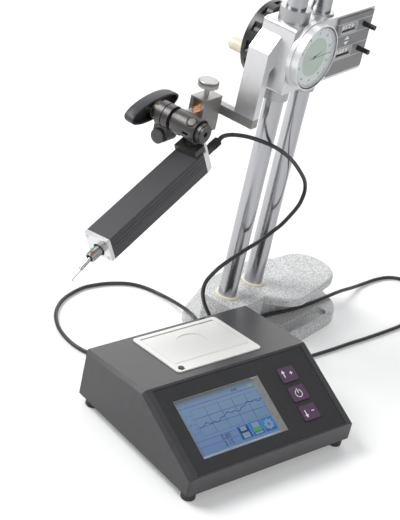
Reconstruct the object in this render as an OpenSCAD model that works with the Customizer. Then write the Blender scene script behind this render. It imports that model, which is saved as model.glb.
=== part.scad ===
// Surface roughness tester on its height gauge: a display console with a strip printer, a motor
// drive unit with a stylus pickup, the ball swivel and clamp that hold the drive unit, and a
// two-column height gauge. Millimetres, +Z up. The origin lies under the gauge's base, midway
// between its two columns, at table level.

/* [Console] */
// Width of the console
console_w = 200; // [192:1:208]
// Depth of the console from the front lip to the rear face
console_d = 167; // [162:1:174]
// Height of the rear edge above the underside
console_rear_h = 47.5; // [46:0.5:50]
// Height of the ridge between the sloping front and the top
console_ridge_h = 58; // [56:0.5:61]
// Height of the front lip
lip_h = 18.3; // [17.5:0.1:20]
// Depth of the sloping front, seen from above
slope_run = 82; // [80:0.5:84]
// Chamfer along the outer edges of the cover
edge_chamfer = 3.2; // [2:0.1:4]
// Wall of the cover
cover_wall = 3; // [2.8:0.1:3.2]
// Thickness of the bottom plate
bottom_t = 3; // [2.5:0.1:3.5]
// Diameter of a rubber foot
foot_d = 13.6; // [12:0.2:15]
// Height of a rubber foot
foot_h = 9.3; // [8:0.1:11]
// Distance of a foot's centre from the side face
foot_side = 9.8; // [9:0.2:12]
// Distance of a front foot's centre from the front lip
foot_front = 8.6; // [8:0.2:12]
// Distance of a rear foot's centre from the rear face
foot_rear = 12.6; // [9:0.2:14]

/* [Front panel] */
// Width of the plain border left of and right of the panel
panel_border = 9.4; // [8:0.2:11]
// Depth of the recess for the panel
panel_recess = 1.4; // [1.2:0.1:1.6]
// Thickness of the panel
panel_t = 1; // [0.8:0.1:1.2]
// Width of the display window
lcd_w = 101; // [98:0.5:104]
// Height of the display window along the slope
lcd_h = 59; // [56:0.5:61]
// Centre of the display window across the console
lcd_x = -25.5; // [-28:0.5:-24]
// Centre of the display window up the slope
lcd_s = 44; // [43:0.5:46]
// Width of the bevel right of the display, half as wide below it
lcd_bevel = 6.4; // [5.6:0.1:7]
// Width of a key
key_w = 19.6; // [18:0.2:21]
// Height of a key along the slope
key_h = 15.6; // [14:0.2:17]
// Centre of the keys across the console
key_x = 57.8; // [56:0.2:60]
// Centre of the middle key up the slope
key_s = 44.6; // [43.6:0.2:45.6]
// Distance between the keys
key_pitch = 20.7; // [20:0.1:21.5]
// Stroke of a key
key_stroke = 0.8; // [0.5:0.1:1]

/* [Printer] */
// Width of the printer panel
printer_w = 102; // [100:0.5:106]
// Distance of the printer panel behind the ridge
printer_t0 = 10; // [9:0.5:10.5]
// Distance of the paper slot's rear edge behind the ridge
slot_t = 76.2; // [75.5:0.1:76.6]
// Width of the paper slot
slot_gap = 2; // [1.6:0.1:2.4]
// Width of the printer door
door_w = 88.8; // [86:0.2:90]
// Distance of the door's hinge behind the ridge
hinge_t = 25.6; // [25:0.1:27]
// Depth of the paper bay under the top
bay_depth = 34; // [32:0.5:35]
// Diameter of the paper roll
roll_d = 26; // [22:0.5:28]
// Width of the paper roll
roll_w = 57; // [50:0.5:58]
// Diameter of the platen roller
platen_d = 8; // [7:0.1:8.6]
// Diameter of the paper feed button
feed_d = 5.6; // [5:0.1:6.4]

/* [Height gauge] */
// Diameter of a column
column_d = 19; // [18:0.2:20]
// Distance between the two columns
column_pitch = 45; // [44:0.5:48]
// Height of the whole gauge
gauge_h = 455; // [445:1:470]
// Height of the base
base_h = 49.3; // [48:0.1:52]
// Height of the wide lower tier of the base
tier_h = 14; // [12:0.5:16]
// Thickness of the overhanging top of the base
base_top_t = 8.6; // [7.5:0.1:10]
// Outer diameter of the rings at the column feet
ring_d = 25; // [24:0.5:27]
// Height of the rings at the column feet
ring_h = 2; // [1.6:0.1:3]
// Height of the bridge that joins the column tops
bridge_h = 15; // [13:0.5:18]

/* [Carriage] */
// Height of the carriage's underside above the table
carriage_z = 284.3; // [280:0.1:288]
// Height of the carriage
carriage_h = 66; // [64:0.5:68]
// Front face of the carriage, ahead of the columns' middle
carriage_front = 42; // [41:0.5:43]
// Rear face of the carriage, behind the columns' middle
carriage_rear = 96; // [94:0.5:98]
// Dial side of the carriage
carriage_dial_y = 17; // [16:0.2:18]
// Wheel side of the carriage
carriage_wheel_y = 19; // [18.5:0.1:19.5]
// Outer diameter of the upper guide bush
bush_top_d = 29; // [27:0.5:31]
// Outer diameter of the lower guide bushes
bush_low_d = 25; // [24:0.5:27]
// Length of a guide bush outside the carriage
bush_len = 12.5; // [11:0.5:14]
// Radial running clearance of the guide bushes
bush_clear = 0.06; // [0.03:0.01:0.1]
// Thickness of the measuring jaw arm and its bar
jaw_t = 9; // [8.6:0.1:9.4]
// Drop of the jaw bar's underside below the carriage
jaw_drop = 37; // [36.6:0.1:37.4]

/* [Dial and counters] */
// Outer radius of the dial's bezel
dial_r = 32; // [31:0.2:33]
// Distance of the dial's centre ahead of the columns' middle
dial_x = 13; // [12:0.5:14]
// Height of the dial's centre above the carriage's underside
dial_z = 37; // [36:0.5:38]
// Depth of the bezel
bezel_depth = 12; // [11:0.2:13]
// Width of the counter panel
counter_w = 61; // [58:0.5:63]
// Height of the counter panel
counter_h = 59; // [57:0.5:61]
// Stroke of a reset pin
pin_stroke = 4; // [3:0.2:5]

/* [Handwheel] */
// Radius of the feed handwheel
wheel_r = 37; // [36:0.5:39]
// Thickness of the handwheel's rim
wheel_t = 12; // [11:0.2:13]
// Distance of the handwheel from the carriage
wheel_gap = 9; // [8:0.5:11]
// Distance of the crank handle from the wheel's centre
crank_r = 26; // [24:0.5:27]
// Length of the crank handle
crank_len = 20; // [17:0.5:22]

/* [Clamp and swivel] */
// Height of the clamp block
clamp_h = 35.5; // [34:0.5:37]
// Length of the clamp block along the shank
clamp_len = 27; // [26:0.5:28]
// Width of the clamp block
clamp_w = 17; // [16.6:0.2:17.4]
// Diameter of the thumbscrew's head
thumb_d = 20; // [18:0.5:22]
// Thickness and width of the swivel's square shank
shank_t = 9; // [8.6:0.1:9.4]
// Diameter of the swivel's barrel
barrel_d = 19; // [18.4:0.1:19.6]
// Length of the swivel's barrel
barrel_len = 34; // [33:0.5:35]
// Diameter of the ball
ball_d = 14; // [13.6:0.1:14.4]
// Clearance round the ball
ball_clear = 0.1; // [0.06:0.01:0.15]
// Diameter of the ball's stem
stem_d = 6; // [5.6:0.1:6.4]
// Length of the wing knob
knob_len = 66; // [60:1:70]
// Width of the wing knob at its middle
knob_w = 21; // [20:0.5:24]
// Depth of the wing knob
knob_t = 13; // [12:0.5:15]

/* [Drive unit] */
// Length of the drive unit's housing
drive_len = 131; // [126:1:138]
// Width of the housing
drive_w = 28.8; // [28:0.2:30]
// Height of the housing
drive_h = 24.3; // [24:0.1:25]
// Wall of the housing
drive_wall = 2.4; // [2.2:0.1:2.6]
// Thickness of an end plate
plate_t = 4; // [3.5:0.1:4.5]
// Distance of the housing's top below the ball's centre
ball_above = 25; // [24.6:0.1:26]
// Slope of the drive unit, nose down
drive_slope = 24.4; // [22:0.2:27]
// Fixed roll of the drive unit
drive_roll = 7.6; // [6:0.2:9]
// Diameter of the motor
motor_d = 10; // [9:0.1:10]
// Diameter of the lead screw
screw_d = 4; // [3.6:0.1:4.2]
// Diameter of a guide rod
rod_d = 4; // [3.6:0.1:4.2]

/* [Pickup] */
// Diameter of the pickup's sleeve
pickup_d = 10; // [9.6:0.1:10.4]
// Reach of the sleeve in front of the end plate
pickup_out = 12.5; // [12:0.1:14]
// Diameter of the stylus arm
arm_d = 4; // [3.6:0.1:4.2]
// Reach of the stylus arm in front of the sleeve
arm_out = 13; // [11:0.5:15]
// Droop of the stylus arm
arm_droop = 8; // [6:0.5:9]
// Length of the stylus needle
needle_len = 13; // [10:0.5:16]

/* [Cable] */
// Diameter of the cable
cable_d = 4; // [3.6:0.1:4.4]
// Diameter of the drive unit's plug
drive_plug_d = 9; // [8:0.2:9.4]
// Diameter of the console's plug
console_plug_d = 11; // [10:0.2:12]

/* [Hidden] */
$fn = 48;
eps = 0.01;
fit = 0.05;
slip = 0.3;
console_turn = -12.8;
// Middle of the console's rear edge, which keeps its place when the console's depth changes
console_rear = [-129, -9.65, foot_h];
console_at = console_rear - turned([0, console_d, 0]);
slope_a = atan2(console_ridge_h - lip_h, slope_run);
slope_len = norm([slope_run, console_ridge_h - lip_h]);
top_run = console_d - slope_run;
top_a = atan2(console_ridge_h - console_rear_h, top_run);
panel_w = console_w - 2 * panel_border;
panel_s0 = 2;
panel_len = slope_len - 2 * panel_s0 - 0.5;
panel_top = panel_t - panel_recess;
bevel_low = 0.5 * lcd_bevel;
bevel_thin = 1.4;
printer_len = slot_t + 4.3 - printer_t0;
printer_t = 1.2;
bay_t0 = hinge_t - 5.3;
bay_t1 = slot_t + 1.5;
bay_wall = 1.5;
bay_in = door_w / 2 + 1.7;
door_r = 2.2;
grip_w = 27.4;
grip_t0 = slot_t - 33;
grip_t1 = slot_t - 11;
grip_r = 19.2;
grip_depth = 1;
grip_a = atan2(grip_depth, grip_t1 - grip_t0);
platen_t = slot_t - slot_gap - 4.2;
platen_n = -2.5 - platen_d / 2;
board_z = 9;
board_t = 1.6;
board_w = console_w - 36;
battery_y = 26;
cell_len = 44;
board_y = battery_y + cell_len + 6;
board_d = console_d - cover_wall - 14 - board_y;
column_x = column_pitch / 2;
bridge_d = 32;
bridge_r = 10;
bore_depth = 30;
wheel_z = carriage_z + 29;
wheel_y0 = carriage_wheel_y + wheel_gap;
shaft_r = 5;
pinion_r = 12.4;
crank_a = 200;
crank_at = [crank_r * cos(crank_a), crank_r * sin(crank_a)];
crank_pin_d = 5;
dial_c = [-dial_x, carriage_z + dial_z];
dial_boss_r = dial_r - 5;
dial_boss_h = 4;
face_depth = 3.6;
face_t = 1.2;
face_r = dial_r - 2.2;
glass_t = 0.9;
glass_r = dial_r - 1.2;
pointer_depth = 1.6;
pointer_d = 3;
counter_x0 = 31;
counter_z0 = carriage_z + 4;
pin_d = 5;
pin_x = 78;
pin_z = [carriage_z + 51, carriage_z + 25.5];
pin_in = 8;
pin_out = 15;
jaw_x1 = -carriage_front - 6;
jaw_x0 = jaw_x1 - jaw_t;
jaw_y0 = -3.5;
jaw_z0 = carriage_z - jaw_drop;
jaw_top = carriage_z + carriage_h - 12;
jaw_foot = carriage_z + carriage_h - 42;
clamp_x1 = jaw_x0;
clamp_x0 = clamp_x1 - clamp_len;
clamp_y0 = 35;
clamp_z0 = jaw_z0 - 17;
clamp_z1 = clamp_z0 + clamp_h;
shank_y0 = clamp_y0 + (clamp_w - shank_t) / 2;
shank_z0 = jaw_z0 - 2;
shank_end = clamp_x1 - 9;
slot_x1 = clamp_x1 - 3.5;
pad_z0 = shank_z0 + shank_t;
pad_h = 9;
thumb_x = (clamp_x0 + slot_x1) / 2;
ball_at = [clamp_x0 - 22.5, 32, jaw_z0];
barrel_r = barrel_d / 2;
barrel_y0 = ball_at[1] - 18;
barrel_y1 = barrel_y0 + barrel_len;
collar_r = 12;
knob_y0 = barrel_y1 + 24;
knob_end_d = 8;
knob_screw_d = 8;
knob_screw_len = 14;
lug_y = barrel_y1 + 12;
lug_d = 15;
lug_drop = 21;
drive_x1 = -3;
drive_x0 = drive_x1 - drive_len;
drive_top = -ball_above;
drive_mid = drive_top - drive_h / 2;
drive_low = drive_top - drive_h;
upstand_t = 3;
saddle_len = 13;
saddle_h = 6.5;
socket_h = 11;
socket_d = stem_d + 7;
pickup_z = drive_mid - 3.5;
screw_z = drive_top - drive_wall - motor_d / 2 - 0.1;
guide_y = 8.5;
rod_z = drive_mid - 4.9;
block_x0 = drive_x0 + 24;
block_len = 20;
nose_x = drive_x0 - plate_t;
sleeve_x = nose_x - pickup_out;
pivot_x = sleeve_x + 4.5;
plug_y = -9.5;
plug_z = drive_top - 6;
plug_len = 20;
console_plug_len = 19.6;
socket_x = console_w / 2 - 38;
socket_z = 21;
cable_sides = 8;
console_exit = console_at + turned([socket_x, console_d + console_plug_len, socket_z]);
console_out = turned([0, 1, 0]);
drive_exit = ball_at + tilted([drive_x1 + plate_t + upstand_t + plug_len, plug_y, plug_z]);
drive_out = tilted([1, 0, 0]);
// Places and radii of the circles that bound the base's top, its neck and its lower tier
lobe = [[95, -18, 31], [45, -22, 31], [76, -3, 20], [6, 2, 18]];
neck = [[95, -16, 8], [45, -13, 8], [76, -4, 8], [6, 2, 13]];
low_tier = [[-18, 25, 21], [46, 29, 36], [107, 22, 40], [-16, -8, 17], [50, -26, 36], [92, -24, 38]];
// Outline of the block at the front of the base, under the columns
front_block = [[-42, 13], [-30, 22], [12, 20], [16, -20], [8, -26], [-36, -26], [-42, -20]];
// Hollow under the base and groove in its lower tier: centre, length, width and corner radius
hollow_at = [46, 3];
hollow = [140, 80, 20];
hollow_h = 6;
groove_at = [60, -49.5];
groove = [72, 13, 6.4];
groove_h = 3.5;

// Route of the hanging cable, from the plug on the drive unit to the table ahead of the base
hang_route = concat([drive_exit, drive_exit + 6 * drive_out],
    [[-61, 13, 235.5], [-54, 2, 237], [-47, -7, 235.8], [-40, -12, 233],
     [-29.5, -16, 228], [-14.5, -19, 219], [3, -21, 206.5], [18, -23, 192.5], [32, -24, 177.5],
     [38, -24, 165], [37, -24, 154.5], [31, -24, 146], [11, -24, 134.5], [-6, -24, 130],
     [-21, -23, 125], [-38, -22, 122], [-55, -21, 118.5], [-69, -19, 114], [-81, -17, 108],
     [-90, -14, 97], [-89, -12, 84], [-79, -9, 67.5], [-63, -5, 49], [-50, -3, 33],
     [-46.5, -4, 18], [-46, -8, 9.5], [-46, -13, 6]]);
// Route of the cable along the table, from there to the plug at the back of the console
table_route = concat(
    [[-46, -13, 6], [-46, -18, 2.5], [-42, -25, 2], [-32, -29.5, 2], [-23, -33, 5], [-12.5, -35.3, 10],
     [-1, -33.3, 17.4], [14, -26, 16.8], [24, -22.5, 16.6], [40, -26, 16.4], [56, -31, 16.4], [74, -35, 16.4],
     [98, -38.5, 16.4], [123, -42, 17.2], [136, -42, 15.6], [150, -41, 12.5], [173, -40, 7],
     [194, -39.5, 3], [222, -43, 2], [239, -49, 2], [249.6, -59, 2], [253, -75, 2],
     [248, -90, 2], [236, -102, 2], [216, -111, 2], [188, -115, 2], [159, -114, 2],
     [112, -105.5, 2], [83, -99, 2], [53, -93, 2], [8, -82, 2], [-30, -70, 2], [-70, -52, 2],
     [-105, -30, 2], [-135, -2, 2], [-154, 28, 2], [-163, 56, 2], [-163.5, 78, 2], [-155, 102, 2],
     [-137, 123, 2], [-112, 136, 2], [-82, 139.5, 2], [-63, 135.5, 2], [-46, 128, 2], [-29, 115, 2],
     [-20.5, 99, 2], [-19, 77, 3.5], [-27, 57, 10], [-36.5, 35, 16.5], [-42, 23, 21],
     [-50, 13, 26.5], [-57.5, 9, 29]], [console_exit + 8 * console_out, console_exit]);

// Frames of the parts

module in_console() {
    translate(console_at) rotate([0, 0, console_turn]) children();
}

module on_slope() {
    translate([0, 0, lip_h]) rotate([slope_a, 0, 0]) children();
}

module on_top() {
    translate([0, slope_run, console_ridge_h]) rotate([-top_a, 0, 0]) children();
}

module in_drive() {
    translate(ball_at) rotate([-drive_roll, -drive_slope, 0]) children();
}

// The same turns for a point
function turned(p) = [p[0] * cos(console_turn) - p[1] * sin(console_turn),
                      p[0] * sin(console_turn) + p[1] * cos(console_turn), p[2]];
function rolled(p) = [p[0], p[1] * cos(drive_roll) + p[2] * sin(drive_roll),
                      p[2] * cos(drive_roll) - p[1] * sin(drive_roll)];
function sloped(p) = [p[0] * cos(drive_slope) - p[2] * sin(drive_slope), p[1],
                      p[2] * cos(drive_slope) + p[0] * sin(drive_slope)];
function tilted(p) = sloped(rolled(p));

// A cylinder along X, from the origin toward +X
module rod_x(d, len) {
    rotate([0, 90, 0]) cylinder(d = d, h = len);
}

// A cylinder along Y, from the origin toward +Y
module rod_y(d, len) {
    rotate([-90, 0, 0]) cylinder(d = d, h = len);
}

// A rectangle with rounded corners, centred
module rounded(w, h, r) {
    square([w - 2 * r, h], center = true);
    square([w, h - 2 * r], center = true);
    for (i = [-1, 1], j = [-1, 1])
        translate([i * (w / 2 - r), j * (h / 2 - r)]) circle(r = r);
}

// A disc with a rounded upper edge, for the cast base
module cast_disc(r, h, edge) {
    rotate_extrude() {
        square([r, h - edge]);
        square([r - edge, h]);
        translate([r - edge, h - edge]) circle(r = edge, $fn = 24);
    }
}

// Console

module console_profile() {
    polygon([[0, 0], [0, lip_h], [slope_run, console_ridge_h], [console_d, console_rear_h],
             [console_d, 0]]);
}

module edge_bar(chamfer) {
    rotate([0, 45, 0]) cube([chamfer * sqrt(2), 4 * console_d, chamfer * sqrt(2)], center = true);
}

module console_solid() {
    difference() {
        rotate([90, 0, 90]) linear_extrude(console_w, center = true) console_profile();
        for (side = [-1, 1]) {
            on_slope() translate([side * console_w / 2, 0, 0]) edge_bar(edge_chamfer);
            on_top() translate([side * console_w / 2, 0, 0]) edge_bar(edge_chamfer);
            for (y = [0, console_d])
                translate([side * console_w / 2, y, 0]) rotate([90, 0, 0]) edge_bar(0.7 * edge_chamfer);
        }
    }
}

module console_cavity() {
    w = cover_wall;
    low = lip_h + w * tan(slope_a) - w / cos(slope_a);
    ridge_y = (console_ridge_h - lip_h + slope_run * tan(top_a) + w * (1 / cos(slope_a) - 1 / cos(top_a)))
              / (tan(slope_a) + tan(top_a));
    ridge_z = lip_h + ridge_y * tan(slope_a) - w / cos(slope_a);
    rear_z = console_ridge_h - (console_d - w - slope_run) * tan(top_a) - w / cos(top_a);
    rotate([90, 0, 90]) linear_extrude(console_w - 2 * w, center = true)
        polygon([[w, -1], [w, low], [ridge_y, ridge_z], [console_d - w, rear_z], [console_d - w, -1]]);
}

function boss_places() = [for (x = [-1, 1], y = [24, console_d - 14]) [x * (console_w / 2 - 13), y]];
function foot_places() = [for (x = [-1, 1], y = [foot_front, console_d - foot_rear])
                          [x * (console_w / 2 - foot_side), y]];
function key_place(i) = [key_x, key_s - i * key_pitch, 0];

module console_base() {
    color("DimGray") in_console() difference() {
        union() {
            translate([0, console_d / 2, bottom_t / 2])
                cube([console_w - 2 * (cover_wall + slip), console_d - 2 * (cover_wall + slip), bottom_t],
                     center = true);
            for (x = [-1, 1], y = [82, 144]) translate([x * 76, y, 0]) cylinder(d = 7, h = board_z);
        }
        for (p = boss_places()) translate([p[0], p[1], -1]) cylinder(d = 3.4, h = bottom_t + 2);
        for (p = boss_places()) translate([p[0], p[1], -1]) cylinder(d = 6.4, h = 2.2);
    }
}

module console_cover() {
    color([0.35, 0.35, 0.37]) in_console() difference() {
        union() {
            difference() {
                console_solid();
                console_cavity();
            }
            for (p = boss_places()) intersection() {
                console_solid();
                translate([p[0], p[1], bottom_t]) cylinder(d = 8, h = console_ridge_h);
            }
        }
        for (p = boss_places()) translate([p[0], p[1], bottom_t - 1]) cylinder(d = 2.6, h = 9);
        on_slope() {
            translate([-panel_w / 2, panel_s0, -panel_recess]) cube([panel_w, panel_len, 10]);
            translate([lcd_x - lcd_w / 2, lcd_s - lcd_h / 2, -20]) cube([lcd_w, lcd_h, 30]);
            for (i = [-1:1]) translate(key_place(i))
                cube([key_w + 2 * slip, key_h + 2 * slip, 24], center = true);
        }
        on_top() {
            translate([-bay_in - bay_wall - slip, bay_t0 - slip, -bay_depth - 2])
                cube([2 * (bay_in + bay_wall + slip), bay_t1 - bay_t0 + 2 * slip, bay_depth + 10]);
            translate([-printer_w / 2 + 7, printer_t0 + 5, -8]) cylinder(d = feed_d + 2 * slip, h = 16);
        }
        translate([socket_x, console_d - 12, socket_z]) rod_y(console_plug_d + 3, 20);
    }
}

module console_feet() {
    color("Black") in_console() for (p = foot_places())
        translate([p[0], p[1], -foot_h]) rotate_extrude() {
            translate([0, 1]) square([foot_d / 2, foot_h - 1]);
            square([foot_d / 2 - 1, 2]);
            translate([foot_d / 2 - 1, 1]) circle(r = 1, $fn = 24);
        }
}

module cover_screws() {
    color("Silver") in_console() for (p = boss_places()) translate([p[0], p[1], 0.4]) {
        cylinder(d = 5.8, h = 0.8);
        cylinder(d = 2.5, h = 8);
    }
}

module front_panel() {
    color([0.16, 0.16, 0.17]) in_console() on_slope() difference() {
        translate([0, panel_s0 + panel_len / 2, panel_top - panel_t]) linear_extrude(panel_t)
            rounded(panel_w - 2 * slip, panel_len - 2 * slip, 2);
        translate([lcd_x - lcd_w / 2, lcd_s - lcd_h / 2, -20]) cube([lcd_w, lcd_h, 30]);
        for (i = [-1:1]) translate(key_place(i))
            cube([key_w + 2 * slip, key_h + 2 * slip, 24], center = true);
    }
}

module lcd_frame() {
    inner_w = lcd_w - lcd_bevel - bevel_thin;
    inner_h = lcd_h - bevel_low - bevel_thin;
    color("Gray") in_console() on_slope() translate([lcd_x, lcd_s, -cover_wall]) difference() {
        translate([0, 0, (cover_wall + panel_top) / 2])
            cube([lcd_w - 2 * fit, lcd_h - 2 * fit, cover_wall + panel_top], center = true);
        hull() {
            translate([0, 0, cover_wall]) cube([lcd_w - 1, lcd_h - 1, 1], center = true);
            translate([(bevel_thin - lcd_bevel) / 2, (bevel_low - bevel_thin) / 2, 0.1])
                cube([inner_w, inner_h, 0.4], center = true);
        }
    }
}

module lcd_module() {
    color([0.42, 0.55, 0.72]) in_console() on_slope()
        translate([lcd_x, lcd_s, -cover_wall - 3]) cube([lcd_w + 7, lcd_h + 7, 6], center = true);
}

module key_cap(i) {
    color([0.36, 0.24, 0.36]) in_console() on_slope() translate(key_place(i)) {
        translate([0, 0, -cover_wall - 1]) linear_extrude(cover_wall + 1.4) rounded(key_w, key_h, 1.6);
        translate([0, 0, -cover_wall - 1.6]) linear_extrude(1.4) rounded(key_w + 2.4, key_h + 2.4, 1);
    }
}

module key_up() { key_cap(-1); }
module key_start() { key_cap(0); }
module key_enter() { key_cap(1); }

module key_board() {
    top = -cover_wall - 5;
    color("DarkGreen") in_console() on_slope() {
        translate([key_x, key_s, top - 0.8]) cube([key_w + 12, 3 * key_pitch + 4, 1.6], center = true);
        for (i = [-1:1]) translate([key_x, key_s - i * key_pitch, top])
            cylinder(d = 7, h = -cover_wall - 1.6 - key_stroke - 0.1 - top);
        for (x = [-1, 1], s = [-1, 1])
            translate([key_x + x * (key_w / 2 + 4.2), key_s + s * (1.5 * key_pitch + 0.2), top])
                cylinder(d = 3, h = -cover_wall - top);
    }
}

module printer_frame() {
    color([0.93, 0.92, 0.9]) in_console() on_top() difference() {
        union() {
            translate([0, printer_t0 + printer_len / 2, 0]) linear_extrude(printer_t)
                rounded(printer_w, printer_len, 4);
            translate([-bay_in - bay_wall, bay_t0, -bay_depth])
                cube([2 * (bay_in + bay_wall), bay_t1 - bay_t0, bay_depth + eps]);
        }
        translate([-bay_in, bay_t0 + bay_wall, -bay_depth + bay_wall])
            cube([2 * bay_in, bay_t1 - bay_t0 - 2 * bay_wall, bay_depth - bay_wall]);
        translate([-door_w / 2 - 0.4, hinge_t - door_r - 0.4, -4])
            cube([door_w + 0.8, slot_t - hinge_t + door_r + 0.4, 10]);
        translate([-bay_in - 3, hinge_t, printer_t - door_r]) rod_x(2.6, 2 * bay_in + 6);
        translate([-printer_w / 2 + 7, printer_t0 + 5, -1]) cylinder(d = feed_d + 2 * slip, h = 5);
    }
}

// Scoop in the door, deepest at its curved rear edge
module finger_grip() {
    intersection() {
        linear_extrude(4 * door_r, center = true) intersection() {
            translate([0, grip_t1 - grip_r]) circle(r = grip_r);
            translate([-grip_w / 2, grip_t0]) square([grip_w, grip_t1 - grip_t0]);
        }
        translate([-grip_w, grip_t0, printer_t]) rotate([-grip_a, 0, 0])
            cube([2 * grip_w, 2 * (grip_t1 - grip_t0), 4 * door_r]);
    }
}

module printer_door() {
    door_end = slot_t - slot_gap;
    color([0.95, 0.94, 0.92]) in_console() on_top() difference() {
        union() {
            translate([-door_w / 2, hinge_t, printer_t - door_r]) rod_x(2 * door_r, door_w);
            translate([-bay_in - 1, hinge_t, printer_t - door_r]) rod_x(2.4, 2 * bay_in + 2);
            translate([-door_w / 2, hinge_t, printer_t - door_r])
                cube([door_w, door_end - hinge_t, door_r]);
            for (x = [-34, 31.6]) translate([x, platen_t - 4, platen_n - 3])
                cube([2.4, 8, printer_t - platen_n + 1]);
        }
        translate([-40, platen_t, platen_n]) rod_x(3.1, 80);
        finger_grip();
    }
}

module platen_roller() {
    color("Black") in_console() on_top() translate([0, platen_t, platen_n]) {
        translate([-31, 0, 0]) rod_x(platen_d, 62);
        translate([-36, 0, 0]) rod_x(3, 72);
    }
}

module paper_roll() {
    color("White") in_console() on_top()
        translate([-roll_w / 2, bay_t0 + 22, -bay_depth + bay_wall + roll_d / 2 + 0.02]) difference() {
            rod_x(roll_d, roll_w);
            translate([-1, 0, 0]) rod_x(9, roll_w + 2);
        }
}

module feed_button() {
    color("Black") in_console() on_top() translate([-printer_w / 2 + 7, printer_t0 + 5, 0]) {
        translate([0, 0, -cover_wall - 1.4]) cylinder(d = feed_d, h = cover_wall + 1.4 + printer_t + 1);
        translate([0, 0, -cover_wall - 1.6]) cylinder(d = feed_d + 2, h = 1.4);
    }
}

module main_board() {
    color("DarkGreen") in_console() {
        translate([-board_w / 2, board_y, board_z]) cube([board_w, board_d, board_t]);
        for (c = [[-0.3, 0.22, 18], [-0.05, 0.16, 12], [0.25, 0.27, 22], [-0.18, 0.64, 14], [0.34, 0.74, 10]])
            translate([c[0] * board_w, board_y + c[1] * board_d, board_z + board_t - eps])
                cube([c[2], c[2] * 0.7, 1.5]);
    }
}

module battery_pack() {
    cell_d = 14.2;
    pitch = cell_d + 0.3;
    rim = 0.8;
    color("SteelBlue") in_console() translate([-78, battery_y, bottom_t]) {
        for (i = [0:4]) translate([(i + 0.5) * pitch, 0, cell_d / 2 + rim]) rod_y(cell_d, cell_len);
        translate([-rim, -rim, 0]) cube([5 * pitch + 2 * rim, cell_len + 2 * rim, cell_d / 2]);
    }
}

module rear_socket() {
    color("Silver") in_console() translate([socket_x, console_d, socket_z]) difference() {
        union() {
            translate([0, -11, 0]) rod_y(console_plug_d + 3 - 2 * fit, 11);
            rod_y(console_plug_d + 6, 1.6);
        }
        translate([0, -8, 0]) rod_y(console_plug_d - 2 + 2 * fit, 12);
    }
}

// Cable

module console_plug() {
    color("Black") in_console() translate([socket_x, console_d, socket_z]) {
        translate([0, -6, 0]) rod_y(console_plug_d - 2, 7.6);
        translate([0, 1.6, 0]) rod_y(console_plug_d, 12);
        translate([0, 13.6, 0]) rod_y(cable_d + 2, console_plug_len - 13.6);
    }
}

function unit(v) = v / norm(v);
function tangent(p, i) = unit(p[min(i + 1, len(p) - 1)] - p[max(i - 1, 0)]);
function across(t) = unit(cross(t, abs(t[2]) > 0.9 ? [1, 0, 0] : [0, 0, 1]));
function ring_at(p, i) =
    let (t = tangent(p, i), u = across(t), v = cross(t, u))
    [for (k = [0:cable_sides - 1]) let (a = 360 * k / cable_sides)
     p[i] + cable_d / 2 * (cos(a) * u + sin(a) * v)];

module cable_tube(p) {
    n = len(p);
    s = cable_sides;
    points = [for (i = [0:n - 1], q = ring_at(p, i)) q];
    sides = [for (i = [0:n - 2], k = [0:s - 1])
             [i * s + k, (i + 1) * s + k, (i + 1) * s + (k + 1) % s, i * s + (k + 1) % s]];
    caps = [[for (k = [0:s - 1]) k], [for (k = [s - 1:-1:0]) (n - 1) * s + k]];
    polyhedron(points = points, faces = concat(sides, caps), convexity = 10);
}

module cable_table() {
    color("Black") cable_tube(table_route);
}

module cable_hanging() {
    color("Black") cable_tube(hang_route);
}

module drive_plug() {
    color("Black") in_drive() translate([drive_x1 + plate_t + upstand_t, plug_y, plug_z]) {
        rod_x(drive_plug_d, plug_len - 6);
        rod_x(cable_d + 2, plug_len);
    }
}

// Drive unit

module drive_housing() {
    color([0.2, 0.2, 0.21]) in_drive() translate([drive_x0, 0, drive_mid]) rotate([90, 0, 90])
        linear_extrude(drive_len) difference() {
            rounded(drive_w, drive_h, 1.2);
            rounded(drive_w - 2 * drive_wall, drive_h - 2 * drive_wall, 1);
            for (side = [-1, 1], g = [2.6, 4.3, 6.7, 8.4, 10.8, 12.5])
                translate([side * drive_w / 2, drive_h / 2 - g]) square([1.6, 0.7], center = true);
        }
}

module end_plate(x) {
    translate([x, 0, drive_mid]) rotate([90, 0, 90]) linear_extrude(plate_t) rounded(drive_w, drive_h, 1.2);
}

function corner_places() = [for (y = [-1, 1], z = [-1, 1])
                            [y * (drive_w / 2 - 3.6), drive_mid + z * (drive_h / 2 - 3.6)]];

module drive_front_plate() {
    color("Silver") in_drive() difference() {
        end_plate(nose_x);
        translate([nose_x - 1, 0, pickup_z]) rod_x(pickup_d + 3, plate_t + 2);
        for (p = corner_places()) translate([nose_x - 1, p[0], p[1]]) rod_x(2.1, plate_t + 2);
        for (p = corner_places()) translate([nose_x - 1, p[0], p[1]]) rod_x(3.7, 2.4);
    }
}

module drive_rear_plate() {
    upstand_h = 13;
    color("Silver") in_drive() {
        end_plate(drive_x1);
        translate([drive_x1 + plate_t, 0, 0]) difference() {
            translate([0, 0, drive_mid + upstand_h / 2]) rotate([90, 0, 90]) linear_extrude(upstand_t)
                rounded(drive_w - 2, drive_h + upstand_h, 1.2);
            translate([-drive_x1 - plate_t, 0, drive_top]) cylinder(d = socket_d + 2 * slip, h = 2 * upstand_h);
        }
    }
}

module plate_screws() {
    color("Silver") in_drive() for (p = corner_places()) translate([nose_x, p[0], p[1]]) {
        rod_x(2, plate_t);
        difference() {
            translate([0.2, 0, 0]) rod_x(3.6, 1.2);
            rod_x(1.6, 0.8, $fn = 6);
        }
    }
}

module drive_motor() {
    color("Silver") in_drive() translate([drive_x1 - 34, 0, screw_z]) difference() {
        rod_x(motor_d, 34);
        translate([-1, 0, 0]) rod_x(screw_d + 2 * fit, 9);
    }
}

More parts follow.
